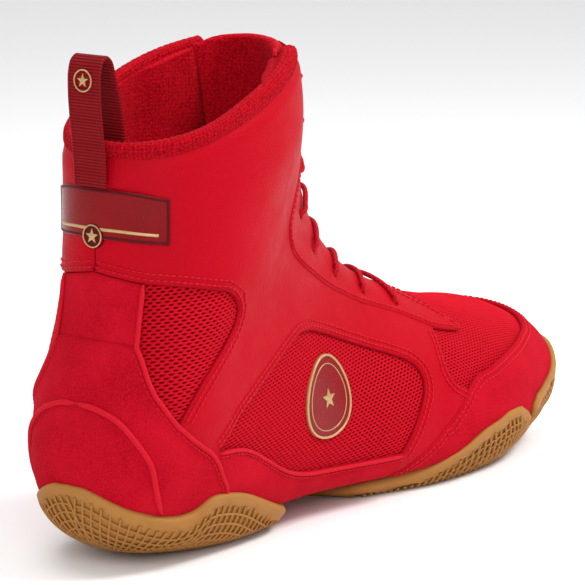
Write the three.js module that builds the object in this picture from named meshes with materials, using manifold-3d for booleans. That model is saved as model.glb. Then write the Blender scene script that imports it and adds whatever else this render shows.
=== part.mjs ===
// Boxing boot, right foot: a soft high ankle boot on two thin gum rubber pods.
//
// Frame: millimetres, +X to the toe, +Z up, -Y to the outer (lateral) side.
// The origin lies on the ground under the middle of the heel pod.
//
// The foot form is a fan of sections. Section t runs from the toe tip (t = 0) over
// the vamp and the instep to the collar rim (t = 12). Inside a section the angle a
// starts at the front ridge (0), passes the lateral side (90), the sole or the back
// (180) and the medial side (270). Every layer is a piece of that form at a signed
// distance d from it: the skins outside, then mesh, padding, lining and insole inside.

import * as THREE from 'three';
import { mergeVertices } from 'three/addons/utils/BufferGeometryUtils.js';
import Module from 'manifold-3d';

const wasm = await Module();
wasm.setup();

// ---------------------------------------------------------------- driving dimensions

// t, front x, front z, back x, back z, centre y, lateral half width, medial half width,
// share of the section above its widest line, upper exponent, lower exponent
const STATIONS = [
  [0.0, 250, 24, 250, 24, 12, 0, 0, 0.60, 2.0, 2.4],
  [0.5, 248, 38, 245, 14, 9, 24, 20, 0.62, 2.0, 2.6],
  [1.0, 242, 49, 233, 11, 6, 38, 33, 0.62, 2.1, 2.8],
  [2.0, 221, 59, 208, 7, 3, 47, 42, 0.64, 2.1, 3.0],
  [3.0, 192, 65, 179, 4, 0, 51, 46, 0.66, 2.1, 3.2],
  [4.0, 164, 72, 145, 3, 0, 50, 46, 0.68, 2.0, 3.2],
  [5.0, 140, 81, 104, 5, 0, 44, 42, 0.70, 1.9, 3.0],
  [6.0, 117, 93, 61, 6, 0, 37, 38, 0.72, 1.9, 2.8],
  [7.0, 99, 110, 12, 5, 0, 36, 37, 0.72, 1.9, 2.6],
  [8.0, 88, 128, -34, 16, 0, 37, 37, 0.70, 2.0, 2.3],
  [9.0, 83, 144, -45, 42, 0, 38, 36, 0.66, 2.0, 2.2],
  [10.0, 80, 158, -36, 79, -1, 39, 35, 0.60, 2.0, 2.1],
  [11.0, 78, 172, -30, 116, -1, 40, 35, 0.55, 2.0, 2.1],
  [12.0, 75, 186, -30, 154, -1, 39, 36, 0.52, 2.0, 2.1],
  [13.0, 71, 200, -30, 192, -1, 38, 36, 0.50, 2.0, 2.1],
];

// section lines and angle step that every layer shares, so that layers stay parallel
const T_LINES = [
  0, 0.1, 0.3, 0.55, 0.85, 1.2, 1.6, 2, 2.5, 3, 3.5, 4, 4.5, 5, 5.5, 6, 6.5, 7, 7.3,
  7.6, 7.9, 8.2, 8.6, 9, 9.5, 10, 10.5, 11, 11.5, 12, 12.5,
];
const A_STEP = 15;

const GAP = 0.6; // between neighbouring panels, along the surface
const SKIN = [-0.6, 0.5]; // leather and suede
const TRIM = [0.9, 1.9]; // pieces sewn on the skin
const MESH = [-1.9, -0.9]; // mesh windows and stiffeners, under the skin
const MARGIN = 3; // how far a mesh window runs under its frame
const THROAT = 15.5; // half angle of the open throat
const WING = [0.8, 3.0]; // rubber on the side walls
const SOLE_OUT = 6.4; // rubber under the foot, before the ground cuts it flat
const LINING_THICK = 1.2;
const BOARD = [-2.0, -0.9];
const ROLL = [-6.8, -0.1];
const TONGUE_FACE = [-5.0, -4.0];
const TONGUE_FILL = [-8.2, -5.3];
const TONGUE_LINING = [-9.4, -8.5];
const INSOLE_THICK = 3.5;

const LACE_RADIUS = 1.1;
const LACE_SIDES = 6;
const LACE_HOLE_RADIUS = 1.8;
const LACE_OVER = 2.1; // lace centre above the skin
const LACE_UNDER = -2.35; // lace centre under the skin
const EYELETS = [
  [5.05, 31], [5.8, 31], [6.6, 32], [7.45, 34], [8.35, 35], [9.15, 32], [10.15, 27], [11.25, 27],
];

const LOOP_WIDTH = 15;
const LOOP_THICK = 1.4;

// ------------------------------------------------------------------------- foot form

const COLUMNS = STATIONS[0].length;

function stationTangents() {
  const out = STATIONS.map(() => new Array(COLUMNS).fill(0));
  const last = STATIONS.length - 1;
  for (let i = 0; i <= last; i++) {
    for (let c = 1; c < COLUMNS; c++) {
      const slope = (p, q) => (STATIONS[q][c] - STATIONS[p][c]) / (STATIONS[q][0] - STATIONS[p][0]);
      if (i === 0) {
        out[i][c] = slope(0, 1);
      } else if (i === last) {
        out[i][c] = slope(last - 1, last);
      } else {
        const before = STATIONS[i][0] - STATIONS[i - 1][0];
        const after = STATIONS[i + 1][0] - STATIONS[i][0];
        out[i][c] = (slope(i - 1, i) * after + slope(i, i + 1) * before) / (before + after);
      }
    }
  }
  out[0][1] = 0;
  out[0][3] = 0;
  return out;
}

const TANGENTS = stationTangents();

function station(t) {
  const s = Math.min(Math.max(t, 0), STATIONS[STATIONS.length - 1][0]);
  let i = 0;
  while (i < STATIONS.length - 2 && STATIONS[i + 1][0] <= s) {
    i++;
  }
  const h = STATIONS[i + 1][0] - STATIONS[i][0];
  const u = (s - STATIONS[i][0]) / h;
  return STATIONS[i].map((v, c) => (1 + 2 * u) * (1 - u) ** 2 * v
    + u * (1 - u) ** 2 * h * TANGENTS[i][c]
    + u * u * (3 - 2 * u) * STATIONS[i + 1][c]
    + u * u * (u - 1) * h * TANGENTS[i + 1][c]);
}

function formPoint(t, a) {
  const [, fx, fz, bx, bz, yc, wl, wm, m, nu, nl] = station(t);
  const c = Math.cos(THREE.MathUtils.degToRad(a));
  const s = Math.sin(THREE.MathUtils.degToRad(a));
  const n = c >= 0 ? nu : nl;
  const cc = Math.sign(c) * Math.abs(c) ** (2 / n);
  const ss = Math.sign(s) * Math.abs(s) ** (2 / n);
  const q = c >= 0 ? m * (1 - cc) : m - (1 - m) * cc;
  const w = s > 0 ? wl : wm;
  return new THREE.Vector3(fx + (bx - fx) * q, yc - w * ss, fz + (bz - fz) * q);
}

function formNormal(t, a) {
  if (t < 0.001) {
    return new THREE.Vector3(1, 0, 0);
  }
  const s = Math.max(t, 0.03);
  const along = formPoint(s + 0.01, a).sub(formPoint(s - 0.01, a));
  const around = formPoint(s, a + 0.6).sub(formPoint(s, a - 0.6));
  return along.cross(around).normalize();
}

function at(t, a, d) {
  return formPoint(t, a).addScaledVector(formNormal(t, a), d);
}

// ---------------------------------------------------------------------- grid of facets

function lineIndex(t) {
  const last = T_LINES.length - 1;
  let i = 0;
  while (i < last - 1 && T_LINES[i + 1] <= t) {
    i++;
  }
  return i + (t - T_LINES[i]) / (T_LINES[i + 1] - T_LINES[i]);
}

const cornerCache = new Map();

function corner(i, j) {
  const around = 360 / A_STEP;
  const key = `${i},${((j % around) + around) % around}`;
  if (!cornerCache.has(key)) {
    const a = (((j % around) + around) % around) * A_STEP;
    cornerCache.set(key, [formPoint(T_LINES[i], a), formNormal(T_LINES[i], a), T_LINES[i], a]);
  }
  return cornerCache.get(key);
}

// the three grid corners around grid position (x, y) and their shares; the diagonal of
// every cell runs from (i, j) to (i + 1, j + 1)
function cornersAround(x, y) {
  const i = Math.min(Math.floor(x + 1e-5), T_LINES.length - 2);
  const j = Math.floor(y + 1e-5);
  const u = x - i;
  const w = y - j;
  return u >= w
    ? [[i, j, 1 - u], [i + 1, j, u - w], [i + 1, j + 1, w]]
    : [[i, j, 1 - w], [i, j + 1, w - u], [i + 1, j + 1, u]];
}

function facetPoint(t, a) {
  const p = new THREE.Vector3();
  for (const [i, j, share] of cornersAround(lineIndex(t), a / A_STEP)) {
    p.addScaledVector(corner(i, j)[0], share);
  }
  return p;
}

// --------------------------------------------------------------------------- outlines

// moves a closed outline of [t, a] points inwards by a distance on the surface
function inset(outline, distance) {
  const n = outline.length;
  let area = 0;
  for (let k = 0; k < n; k++) {
    const [t0, a0] = outline[k];
    const [t1, a1] = outline[(k + 1) % n];
    area += t0 * a1 - t1 * a0;
  }
  const turn = Math.sign(area);
  return outline.map(([t, a], k) => {
    if (t <= 0) {
      return [t, a];
    }
    const here = facetPoint(t, a);
    const pt = facetPoint(t + 0.01, a).sub(facetPoint(t - 0.01, a)).divideScalar(0.02);
    const pa = facetPoint(t, a + 0.5).sub(facetPoint(t, a - 0.5));
    const u = pt.clone().normalize();
    const v = pa.clone().addScaledVector(u, -pa.dot(u)).normalize();
    const edge = (other) => {
      const step = facetPoint(Math.max(other[0], 0), other[1]).sub(here);
      return new THREE.Vector2(step.dot(u), step.dot(v)).normalize();
    };
    const e1 = edge(outline[(k + n - 1) % n]).negate();
    const e2 = edge(outline[(k + 1) % n]);
    const n1 = new THREE.Vector2(-e1.y, e1.x).multiplyScalar(turn);
    const n2 = new THREE.Vector2(-e2.y, e2.x).multiplyScalar(turn);
    const miter = n1.add(n2).divideScalar(Math.max(1 + n1.dot(n2), 0.5));
    const push = miter.multiplyScalar(distance);
    const da = push.y / pa.dot(v);
    const dt = (push.x - da * pa.dot(u)) / pt.length();
    return [t + dt, a + da];
  });
}

function mirrored(outline) {
  return outline.map(([t, a]) => [t, 360 - a]).reverse();
}

// a lateral line, its medial twin, joined over the front (signed angles)
function acrossFront(line) {
  return [...line, ...line.map(([t, a]) => [t, -a]).reverse()];
}

// a lateral line, its medial twin, joined over the back
function acrossBack(line) {
  return [...line, ...mirrored(line)];
}

// ------------------------------------------------------------------ solids on the form

function toManifold(geometry) {
  const g = geometry.clone();
  g.deleteAttribute('normal');
  g.deleteAttribute('uv');
  const merged = mergeVertices(g, 1e-4);
  const index = merged.index.array;
  const kept = [];
  for (let k = 0; k < index.length; k += 3) {
    const [p, q, r] = [index[k], index[k + 1], index[k + 2]];
    if (p !== q && q !== r && r !== p) {
      kept.push(p, q, r);
    }
  }
  return new wasm.Manifold(new wasm.Mesh({
    numProp: 3,
    vertProperties: Float32Array.from(merged.attributes.position.array),
    triVerts: Uint32Array.from(kept),
  }));
}

function toGeometry(solid) {
  const mesh = solid.getMesh();
  const g = new THREE.BufferGeometry();
  g.setAttribute('position', new THREE.BufferAttribute(Float32Array.from(mesh.vertProperties), 3));
  g.setIndex(new THREE.BufferAttribute(Uint32Array.from(mesh.triVerts), 1));
  const flat = g.toNonIndexed();
  flat.computeVertexNormals();
  return flat;
}

// the grid is bent a little in every cell, so that a cut keeps each of its corners
function bend(i, j) {
  return 0.03 * (i * i + j * j) + 0.02 * i * j;
}

// slab over grid cells i0..i1, j0..j1 with depth 0 (inside) to 1 (outside)
function gridSlab(i0, i1, j0, j1) {
  const rows = i1 - i0;
  const cols = j1 - j0;
  const plane = new THREE.PlaneGeometry(rows, cols, rows, cols);
  plane.translate((i0 + i1) / 2, (j0 + j1) / 2, 0);
  const flat = plane.attributes.position;
  const faces = Array.from(plane.index.array);
  const count = flat.count;
  const position = [];
  for (const z of [1, 0]) {
    for (let k = 0; k < count; k++) {
      position.push(flat.getX(k), flat.getY(k), z + bend(flat.getX(k), flat.getY(k)));
    }
  }
  const index = [...faces];
  for (let k = 0; k < faces.length; k += 3) {
    index.push(faces[k] + count, faces[k + 2] + count, faces[k + 1] + count);
  }
  const rim = [];
  for (let k = 0; k < rows; k++) {
    rim.push(k);
  }
  for (let k = 0; k < cols; k++) {
    rim.push(rows + k * (rows + 1));
  }
  for (let k = rows; k > 0; k--) {
    rim.push(cols * (rows + 1) + k);
  }
  for (let k = cols; k > 0; k--) {
    rim.push(k * (rows + 1));
  }
  rim.forEach((p, k) => {
    const q = rim[(k + 1) % rim.length];
    index.push(p, q, q + count, p, q + count, p + count);
  });
  const g = new THREE.BufferGeometry();
  g.setAttribute('position', new THREE.Float32BufferAttribute(position, 3));
  g.setIndex(index);
  return toManifold(g);
}

// lays the outer face of a cut slab on the form, at both its distances, and closes the
// edge with one strip per boundary edge
function thicken(slab, range) {
  const mesh = slab.getMesh();
  const layer = [];
  const position = [[], []];
  for (let v = 0; v < mesh.vertProperties.length; v += 3) {
    const [x, y, z] = mesh.vertProperties.slice(v, v + 3);
    const corners = cornersAround(x, y);
    const floor = corners.reduce((sum, [i, j, share]) => sum + share * bend(i, j), 0);
    layer.push(Math.round(z - floor));
    [0, 1].forEach((side) => {
      const p = new THREE.Vector3();
      for (const [i, j, share] of corners) {
        const [point, normal, t, a] = corner(i, j);
        p.addScaledVector(point.clone().addScaledVector(normal, range(t, a)[side]), share);
      }
      position[side].push(p.x, p.y, p.z);
    });
  }
  const count = layer.length;
  const faces = [];
  const edges = new Set();
  for (let k = 0; k < mesh.triVerts.length; k += 3) {
    const [p, q, r] = mesh.triVerts.slice(k, k + 3);
    if (layer[p] + layer[q] + layer[r] === 3) {
      faces.push(p + count, q + count, r + count, p, r, q);
      edges.add(`${p},${q}`).add(`${q},${r}`).add(`${r},${p}`);
    }
  }
  for (const edge of edges) {
    const [p, q] = edge.split(',').map(Number);
    if (!edges.has(`${q},${p}`)) {
      faces.push(q + count, p + count, p, q + count, p, q);
    }
  }
  const g = new THREE.BufferGeometry();
  g.setAttribute('position', new THREE.Float32BufferAttribute([...position[0], ...position[1]], 3));
  g.setIndex(faces);
  return g;
}

// the piece of a layer inside an outline; depth(t, a) gives [inner, outer] distances
function panelSolid(outline, depth, shrink = GAP / 2) {
  const edge = shrink === 0 ? outline : inset(outline, shrink);
  const grid = edge.map(([t, a]) => new THREE.Vector2(t <= 0 ? -0.5 : lineIndex(t), a / A_STEP));
  const iMin = Math.max(0, Math.floor(Math.min(...grid.map((p) => p.x)) + 1e-6));
  const iMax = Math.min(T_LINES.length - 1, Math.ceil(Math.max(...grid.map((p) => p.x)) - 1e-6));
  const jMin = Math.floor(Math.min(...grid.map((p) => p.y)) + 1e-6);
  const jMax = Math.ceil(Math.max(...grid.map((p) => p.y)) - 1e-6);
  const cutter = new THREE.ExtrudeGeometry(new THREE.Shape(grid), { depth: 400, bevelEnabled: false });
  cutter.translate(0, 0, -200);
  const slab = gridSlab(iMin, iMax, jMin, jMax).intersect(toManifold(cutter));
  const range = typeof depth === 'function' ? depth : () => depth;
  return toManifold(thicken(slab, range));
}

// closed ring around the toe, made as two overlapping halves of one outline line that
// runs from the top centre (a = 0) to the sole centre (a = 180)
function wrappedSolid(line, depth) {
  const [, lastA] = line[line.length - 1];
  const lead = line.filter(([, a]) => a > 0 && a < A_STEP).map(([t, a]) => [t, -a]).reverse();
  const leadEnd = [line[1][0], -A_STEP];
  const tail = [line[line.length - 1][0], lastA + A_STEP];
  const half = [[-1, -A_STEP], leadEnd, ...lead, ...line, tail, [-1, lastA + A_STEP]];
  const lateral = panelSolid(half, depth, 0);
  const medial = panelSolid(mirrored(half), depth, 0);
  return lateral.add(medial);
}

function boxSolid(x0, x1, y0, y1, z0, z1) {
  const g = new THREE.BoxGeometry(x1 - x0, y1 - y0, z1 - z0);
  g.translate((x0 + x1) / 2, (y0 + y1) / 2, (z0 + z1) / 2);
  return toManifold(g);
}

function chain(...lines) {
  const out = [];
  for (const p of lines.flat()) {
    const q = out[out.length - 1];
    if (!q || Math.hypot(p[0] - q[0], p[1] - q[1]) > 1e-6) {
      out.push(p);
    }
  }
  const [first, last] = [out[0], out[out.length - 1]];
  if (Math.hypot(first[0] - last[0], first[1] - last[1]) < 1e-6) {
    out.pop();
  }
  return out;
}

const reversed = (line) => [...line].reverse();

// -------------------------------------------------------------------------- seam lines
// all on the lateral side, as [t, a]; the medial side is their mirror image

const RIM = [
  [12.02, 16], [12.0, 45], [11.98, 75], [11.93, 105], [11.92, 125], [11.96, 148], [12.02, 168],
  [12.03, 180],
];
const COLLAR_LOW = [
  [10.89, 180], [10.82, 165], [10.71, 151], [10.59, 138], [10.42, 125], [10.2, 112], [9.98, 101],
  [9.78, 94], [9.6, 88.5], [9.42, 84.5], [9.25, 83.5],
];
const ANKLE_FRONT = [[9.25, 83.5], [9.2, 88], [9.2, 96], [9.12, 106], [9.03, 112], [8.93, 117.5]];
const HEEL_UP = [
  [8.93, 117.5], [9.12, 122.5], [9.3, 128], [9.5, 135], [9.7, 141], [9.9, 146], [10.08, 150.5],
];
const BACK_EDGE = [[10.08, 150.5], [10.4, 151], [10.71, 151]];
const BACK_SEAM = [[10.08, 150.5], [10.17, 160], [10.22, 170], [10.23, 180]];
const HEEL_FRONT = [
  [8.93, 117.5], [8.8, 114], [8.5, 107], [8.3, 103], [8.12, 100.5], [7.9, 100.5], [7.7, 104],
  [7.5, 110], [7.38, 120], [7.3, 137],
];
const STRAP_END = [[8.12, 100.5], [7.98, 97.5]];
const QUARTER_REAR = [
  [7.98, 97.5], [7.95, 91], [7.94, 86], [7.87, 81], [7.78, 76], [7.67, 70.5], [7.53, 65],
  [7.38, 60.5],
];
const QUARTER_TOP = [
  [7.38, 60.5], [7.2, 58], [6.8, 56], [6.22, 56], [5.8, 56.8], [5.36, 58.5], [5.12, 60.5],
  [4.97, 63.5],
];
const QUARTER_FRONT = [
  [4.97, 63.5], [4.89, 68], [4.87, 73], [4.9, 80], [4.95, 89], [5.0, 97], [5.02, 103.5],
];
const FOXING_TOP = [
  [5.02, 103.5], [5.41, 104.5], [5.8, 104.8], [6.19, 104], [6.45, 101.5], [6.7, 98],
  [6.95, 94.5], [7.25, 91.5], [7.45, 90.5], [7.66, 91], [7.85, 94], [7.98, 97.5],
];
const FOXING_FRONT = [[5.02, 103.5], [4.98, 108], [4.95, 114], [4.92, 122], [4.92, 131]];
const GUARD_REAR = [
  [4.12, 74], [4.23, 79.5], [4.35, 85], [4.54, 92], [4.69, 102], [4.79, 112], [4.88, 128],
  [4.92, 131],
];
const SADDLE_FRONT = [
  [4.12, 74], [4.22, 72.5], [4.34, 70], [4.42, 66], [4.46, 61], [4.47, 52], [4.47, 43],
];
const EYESTAY_EDGE = [
  [4.47, 43], [4.75, 40.5], [5.08, 38.5], [5.5, 38], [5.94, 38.5], [6.6, 40], [7.28, 42.5],
  [7.85, 46], [8.42, 50], [8.8, 52], [9.1, 53], [9.3, 51], [9.45, 46], [9.55, 38], [9.6, 28],
  [9.6, THROAT],
];
const EYESTAY_TIP = [[4.47, 43], [4.15, 43.5], [3.88, 42.5], [3.83, 41], [3.9, 37], [3.98, 34]];
const EYESTAY_SEAM = [[3.98, 34], [4.15, 29], [4.45, 23], [4.72, 18], [4.85, THROAT]];
const BRIDGE_FRONT = [[4.35, 0], [4.33, 10], [4.22, 18], [4.08, 26], [3.98, 34]];
const GUARD_TOP = [
  [1.42, 0], [1.45, 15], [1.6, 30], [1.88, 42], [2.5, 51.5], [3.12, 59], [3.6, 65],
  [3.95, 69], [4.12, 74],
];
const COUNTER = [
  [9.53, 180], [9.55, 168], [9.35, 152], [9.1, 142], [8.72, 134.5], [8.35, 133], [8.01, 136],
  [7.9, 142], [7.85, 152], [7.85, 165], [7.85, 180],
];
const LINING_SEAM = [
  [7.8, 150], [8.3, 150], [8.9, 150], [9.5, 150], [10.3, 150], [11, 150], [11.96, 149],
];
const HEEL_POD = [
  [8.76, 180], [8.72, 170], [8.6, 162], [8.31, 149], [8.15, 143], [7.96, 138], [7.71, 128],
  [7.64, 116], [7.45, 111.5], [7.28, 110.5], [7.05, 112.5], [6.82, 117], [6.55, 126],
  [6.3, 138], [6.2, 150], [6.18, 165], [6.17, 180],
];
const FOREFOOT_POD = [
  [0.5, 0], [0.53, 12], [0.62, 25], [0.78, 38], [1.0, 50], [1.28, 64], [1.54, 79], [2.04, 88],
  [2.4, 91], [2.48, 94], [2.46, 101], [2.5, 110], [2.57, 106], [2.62, 99], [2.75, 93.5],
  [2.95, 90], [3.2, 89.5], [3.5, 91], [3.83, 95], [4.16, 109], [4.5, 127], [4.84, 138],
  [5.15, 146], [5.24, 160], [5.25, 180],
];
const PATCH = [
  [11.71, 180], [11.7, 168], [11.64, 155], [11.51, 140], [11.03, 140], [11.12, 152],
  [11.19, 165], [11.22, 180],
];
const BADGE_CENTRE = [6.47, 74.5];
const BADGE_CORNERS = 20;
const TOE_PUFF = [
  [1.12, 0], [1.15, 15], [1.22, 30], [1.42, 42], [1.8, 52], [2.2, 62], [2.3, 75], [2, 90],
  [1.5, 110], [0.9, 128], [0.45, 132], [-1, 132],
];
const BOARD_EDGE = [[0.5, 180], [0.5, 142], [7.2, 142], [7.5, 150], [7.64, 165], [7.67, 180]];
const WEDGE_EDGE = [[0.9, 180], [0.9, 147], [7.2, 147], [7.45, 155], [7.55, 167], [7.57, 180]];
const INSOLE_EDGE = [[0.7, 180], [0.7, 145], [7.2, 145], [7.5, 152], [7.62, 165], [7.65, 180]];
const ROLL_TOP = [
  [12.0, 40], [12.3, 40], [12.28, 60], [12.2, 90], [12.1, 120], [12.12, 150], [12.16, 180],
];

// --------------------------------------------------------------------- layer distances

const clamp01 = (v) => Math.min(Math.max(v, 0), 1);
const ramp = (v, v0, v1) => clamp01((v - v0) / (v1 - v0));

// the lining sinks inwards where the collar is padded
function liningDepth(t) {
  const outer = -2.2 - 3.4 * ramp(t, 9.5, 10.5);
  return [outer - LINING_THICK, outer];
}

function collarFoamDepth(t) {
  return [liningDepth(t)[1] + 0.3, -2.2];
}

function wedgeThickness(t) {
  return 1.2 + 1.3 * ramp(t, 1, 3) + 3.5 * ramp(t, 3, 6);
}

function wedgeDepth(t) {
  return [-2.3 - wedgeThickness(t), -2.3];
}

function insoleDepth(t) {
  const outer = -2.6 - wedgeThickness(t);
  return [outer - INSOLE_THICK, outer];
}

// rubber: thin on the walls, full under the foot
function soleDepth(t, a) {
  const fromCentre = Math.abs(180 - (((a % 360) + 360) % 360));
  const under = (1 - ramp(fromCentre, 42, 66)) * ramp(t, 0, 1.2) * (1 - ramp(t, 7.7, 8.4));
  return [WING[0], WING[1] + (SOLE_OUT + WING[0] - WING[1]) * under];
}

// ------------------------------------------------------------------------------ lacing

// the lace crosses the throat between eyelets, over the edge it goes to and under the
// edge it comes from; side is +1 for lateral, -1 for medial
function strand(firstSide, centreHeight) {
  const points = [];
  EYELETS.forEach(([t, a], k) => {
    const side = firstSide * (k % 2 === 0 ? 1 : -1);
    const before = k === 0 ? t : EYELETS[k - 1][0];
    const step = t - before;
    if (k > 0) {
      const [, aBefore] = EYELETS[k - 1];
      points.push(at(before, -side * (aBefore - 4.5), LACE_UNDER - 0.1));
      points.push(at(before + step * 0.25, -side * 14.5, LACE_UNDER));
      points.push(at(before + step * 0.5, 0, centreHeight));
    }
    points.push(at(before + step * 0.72, side * 13.5, LACE_OVER - 0.1));
    points.push(at(before + step * 0.96, side * (a - 5), LACE_OVER + 0.2));
    points.push(at(t, side * (a - 0.9), 1.9));
    points.push(at(t, side * a, 0));
    points.push(at(t, side * (a + (k === EYELETS.length - 1 ? 0.9 : -0.9)), -2.0));
  });
  const lastSide = firstSide * (EYELETS.length % 2 === 0 ? -1 : 1);
  for (const [t, a] of [[11.2, 31], [11.02, 34], [10.75, 35.5], [10.45, 35.5]]) {
    points.push(at(t, lastSide * a, -2.6));
  }
  return { points, lastSide };
}

class LaceCurve extends THREE.Curve {
  constructor(points) {
    super();
    this.points = points;
  }

  getUtoTmapping(u) {
    return u;
  }

  getPoint(u) {
    const last = this.points.length - 1;
    const s = Math.min(Math.max(u, 0), 1) * last;
    const i = Math.min(Math.floor(s + 1e-9), last - 1);
    return this.points[i].clone().lerp(this.points[i + 1], s - i);
  }
}

function polygon(radius, sides) {
  const shape = new THREE.Shape();
  for (let k = 0; k < sides; k++) {
    const w = (k / sides) * Math.PI * 2;
    const p = [radius * Math.cos(w), radius * Math.sin(w)];
    if (k === 0) {
      shape.moveTo(...p);
    } else {
      shape.lineTo(...p);
    }
  }
  return shape;
}

function laceSolid() {
  const lateral = strand(1, -1.2).points;
  const medial = strand(-1, 1.6).points;
  const bar = [at(EYELETS[0][0], 0, LACE_OVER)];
  const path = new LaceCurve([...reversed(lateral), ...bar, ...medial]);
  const g = new THREE.ExtrudeGeometry(polygon(LACE_RADIUS, LACE_SIDES), {
    steps: path.points.length - 1,
    extrudePath: path,
  });
  return toManifold(g);
}

function rodBetween(p, q, radius, sides) {
  const g = new THREE.CylinderGeometry(radius, radius, p.distanceTo(q), sides);
  const turn = new THREE.Quaternion().setFromUnitVectors(
    new THREE.Vector3(0, 1, 0),
    q.clone().sub(p).normalize(),
  );
  g.applyQuaternion(turn);
  g.translate((p.x + q.x) / 2, (p.y + q.y) / 2, (p.z + q.z) / 2);
  return toManifold(g);
}

function withLaceHoles(solid, side) {
  return EYELETS.reduce((left, [t, a]) => {
    const hole = rodBetween(at(t, side * a, -2.5), at(t, side * a, 2.5), LACE_HOLE_RADIUS, 8);
    return left.subtract(hole);
  }, solid);
}

// --------------------------------------------------------------------------- pull loop

// a strip of webbing across the back, given by its centre line in the x, z plane
function webbingSolid(line) {
  const left = [];
  const right = [];
  line.forEach(([x, z], k) => {
    const [x0, z0] = line[Math.max(k - 1, 0)];
    const [x1, z1] = line[Math.min(k + 1, line.length - 1)];
    const length = Math.hypot(x1 - x0, z1 - z0);
    const [nx, nz] = [-(z1 - z0) / length, (x1 - x0) / length];
    left.push(new THREE.Vector2(x + nx * LOOP_THICK / 2, z + nz * LOOP_THICK / 2));
    right.push(new THREE.Vector2(x - nx * LOOP_THICK / 2, z - nz * LOOP_THICK / 2));
  });
  const shape = new THREE.Shape([...left, ...right.reverse()]);
  const g = new THREE.ExtrudeGeometry(shape, { depth: LOOP_WIDTH, bevelEnabled: false });
  g.rotateX(Math.PI / 2);
  g.translate(0, LOOP_WIDTH / 2 - 1, 0);
  return toManifold(g);
}

const LOOP_FREE = [
  [-33.2, 161.6], [-34.2, 170], [-34.8, 179], [-34.4, 186], [-33, 189.6], [-30.6, 191],
  [-28.2, 189.6], [-26.6, 186], [-24.6, 179], [-22.2, 170], [-21, 162.4],
];
const LOOP_OUTER_LEG = [[-31.9, 144.6], [-32.3, 153], [-33.15, 161.2]];
const LOOP_INNER_LEG = [[-21, 162], [-20.8, 154], [-20.6, 144]];

// ------------------------------------------------------------------------------ assembly

const RED_LEATHER = { color: 0xd81a2c, roughness: 0.48, metalness: 0 };
const RED_SUEDE = { color: 0xc61226, roughness: 0.92, metalness: 0 };
const RED_MESH = { color: 0xb90a1c, roughness: 0.85, metalness: 0 };
const RED_LINING = { color: 0xc40d20, roughness: 0.95, metalness: 0 };
const DARK_RED = { color: 0x8c0714, roughness: 0.55, metalness: 0 };
const GUM = { color: 0xc48c48, roughness: 0.6, metalness: 0 };
const FOAM = { color: 0xe6dfd2, roughness: 0.95, metalness: 0 };
const BOARD_LOOK = { color: 0xbfa37c, roughness: 0.9, metalness: 0 };

const boot = new THREE.Group();

function addPiece(group, name, solid, look) {
  const mesh = new THREE.Mesh(toGeometry(solid), new THREE.MeshStandardMaterial(look));
  mesh.name = name;
  group.add(mesh);
}

function addPair(group, name, outline, depth, look, shrink, finish = (solid) => solid) {
  addPiece(group, `${name}_lateral`, finish(panelSolid(outline, depth, shrink), 1), look);
  addPiece(group, `${name}_medial`, finish(panelSolid(mirrored(outline), depth, shrink), -1), look);
}

const sole = new THREE.Group();
const upper = new THREE.Group();
const inside = new THREE.Group();
const lacing = new THREE.Group();
boot.add(sole, upper, inside, lacing);

const aboveGround = boxSolid(-200, 400, -200, 200, 0, 300);
const heelPod = panelSolid(chain(acrossBack(HEEL_POD)), soleDepth, 0);
const forefootPod = wrappedSolid(FOREFOOT_POD, soleDepth);
const ARCH = [[5.0, 139], [6.9, 139], [6.9, 221], [5.0, 221]];
addPiece(sole, 'heel_outsole_pod', heelPod.intersect(aboveGround), GUM);
addPiece(sole, 'forefoot_outsole_pod', forefootPod.intersect(aboveGround), GUM);
addPiece(sole, 'arch_panel', panelSolid(ARCH, SKIN), RED_SUEDE);
addPiece(sole, 'lasting_board', panelSolid(chain(acrossBack(BOARD_EDGE)), BOARD), BOARD_LOOK);
addPiece(sole, 'midsole_wedge', panelSolid(chain(acrossBack(WEDGE_EDGE)), wedgeDepth), FOAM);
addPiece(sole, 'insole', panelSolid(chain(acrossBack(INSOLE_EDGE)), insoleDepth), DARK_RED);

const SADDLE = chain(
  RIM,
  COLLAR_LOW,
  ANKLE_FRONT,
  HEEL_FRONT.slice(0, 5),
  STRAP_END,
  QUARTER_REAR,
  QUARTER_TOP,
  QUARTER_FRONT,
  FOXING_FRONT,
  reversed(GUARD_REAR),
  SADDLE_FRONT,
  EYESTAY_EDGE,
);
const EYESTAY = chain(reversed(EYESTAY_EDGE), EYESTAY_TIP, EYESTAY_SEAM);
const QUARTER_WINDOW = chain(QUARTER_REAR, QUARTER_TOP, QUARTER_FRONT, FOXING_TOP);
const ANKLE_WINDOW = chain(COLLAR_LOW.slice(2), ANKLE_FRONT, HEEL_UP, BACK_EDGE);
const FOXING = chain(
  FOXING_TOP,
  reversed(STRAP_END),
  HEEL_FRONT.slice(4),
  [[6.9, 138], [6, 138], [5.0, 138]],
  reversed(FOXING_FRONT),
);
const BRIDGE = chain(
  BRIDGE_FRONT.slice(0, 4),
  [[4.02, 31], [4.08, 31]],
  EYESTAY_SEAM.slice(1),
  [[4.87, 0]],
);
const GUARD = chain(
  GUARD_TOP,
  GUARD_REAR,
  [[5.0, 138], [4, 138], [3, 138], [2, 138], [1.2, 138], [0.5, 137], [-1, 137]],
);
const VAMP = chain(GUARD_TOP, SADDLE_FRONT, EYESTAY_TIP, reversed(BRIDGE_FRONT));
const BACKSTAY = chain(reversed(BACK_SEAM), BACK_EDGE, reversed(COLLAR_LOW.slice(0, 3)));
const HEEL_OVERLAY = chain(
  reversed(BACK_SEAM),
  reversed(HEEL_UP),
  HEEL_FRONT,
  [[7.45, 142], [7.65, 152], [7.75, 165], [7.78, 180]],
);
const BADGE = [];
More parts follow.
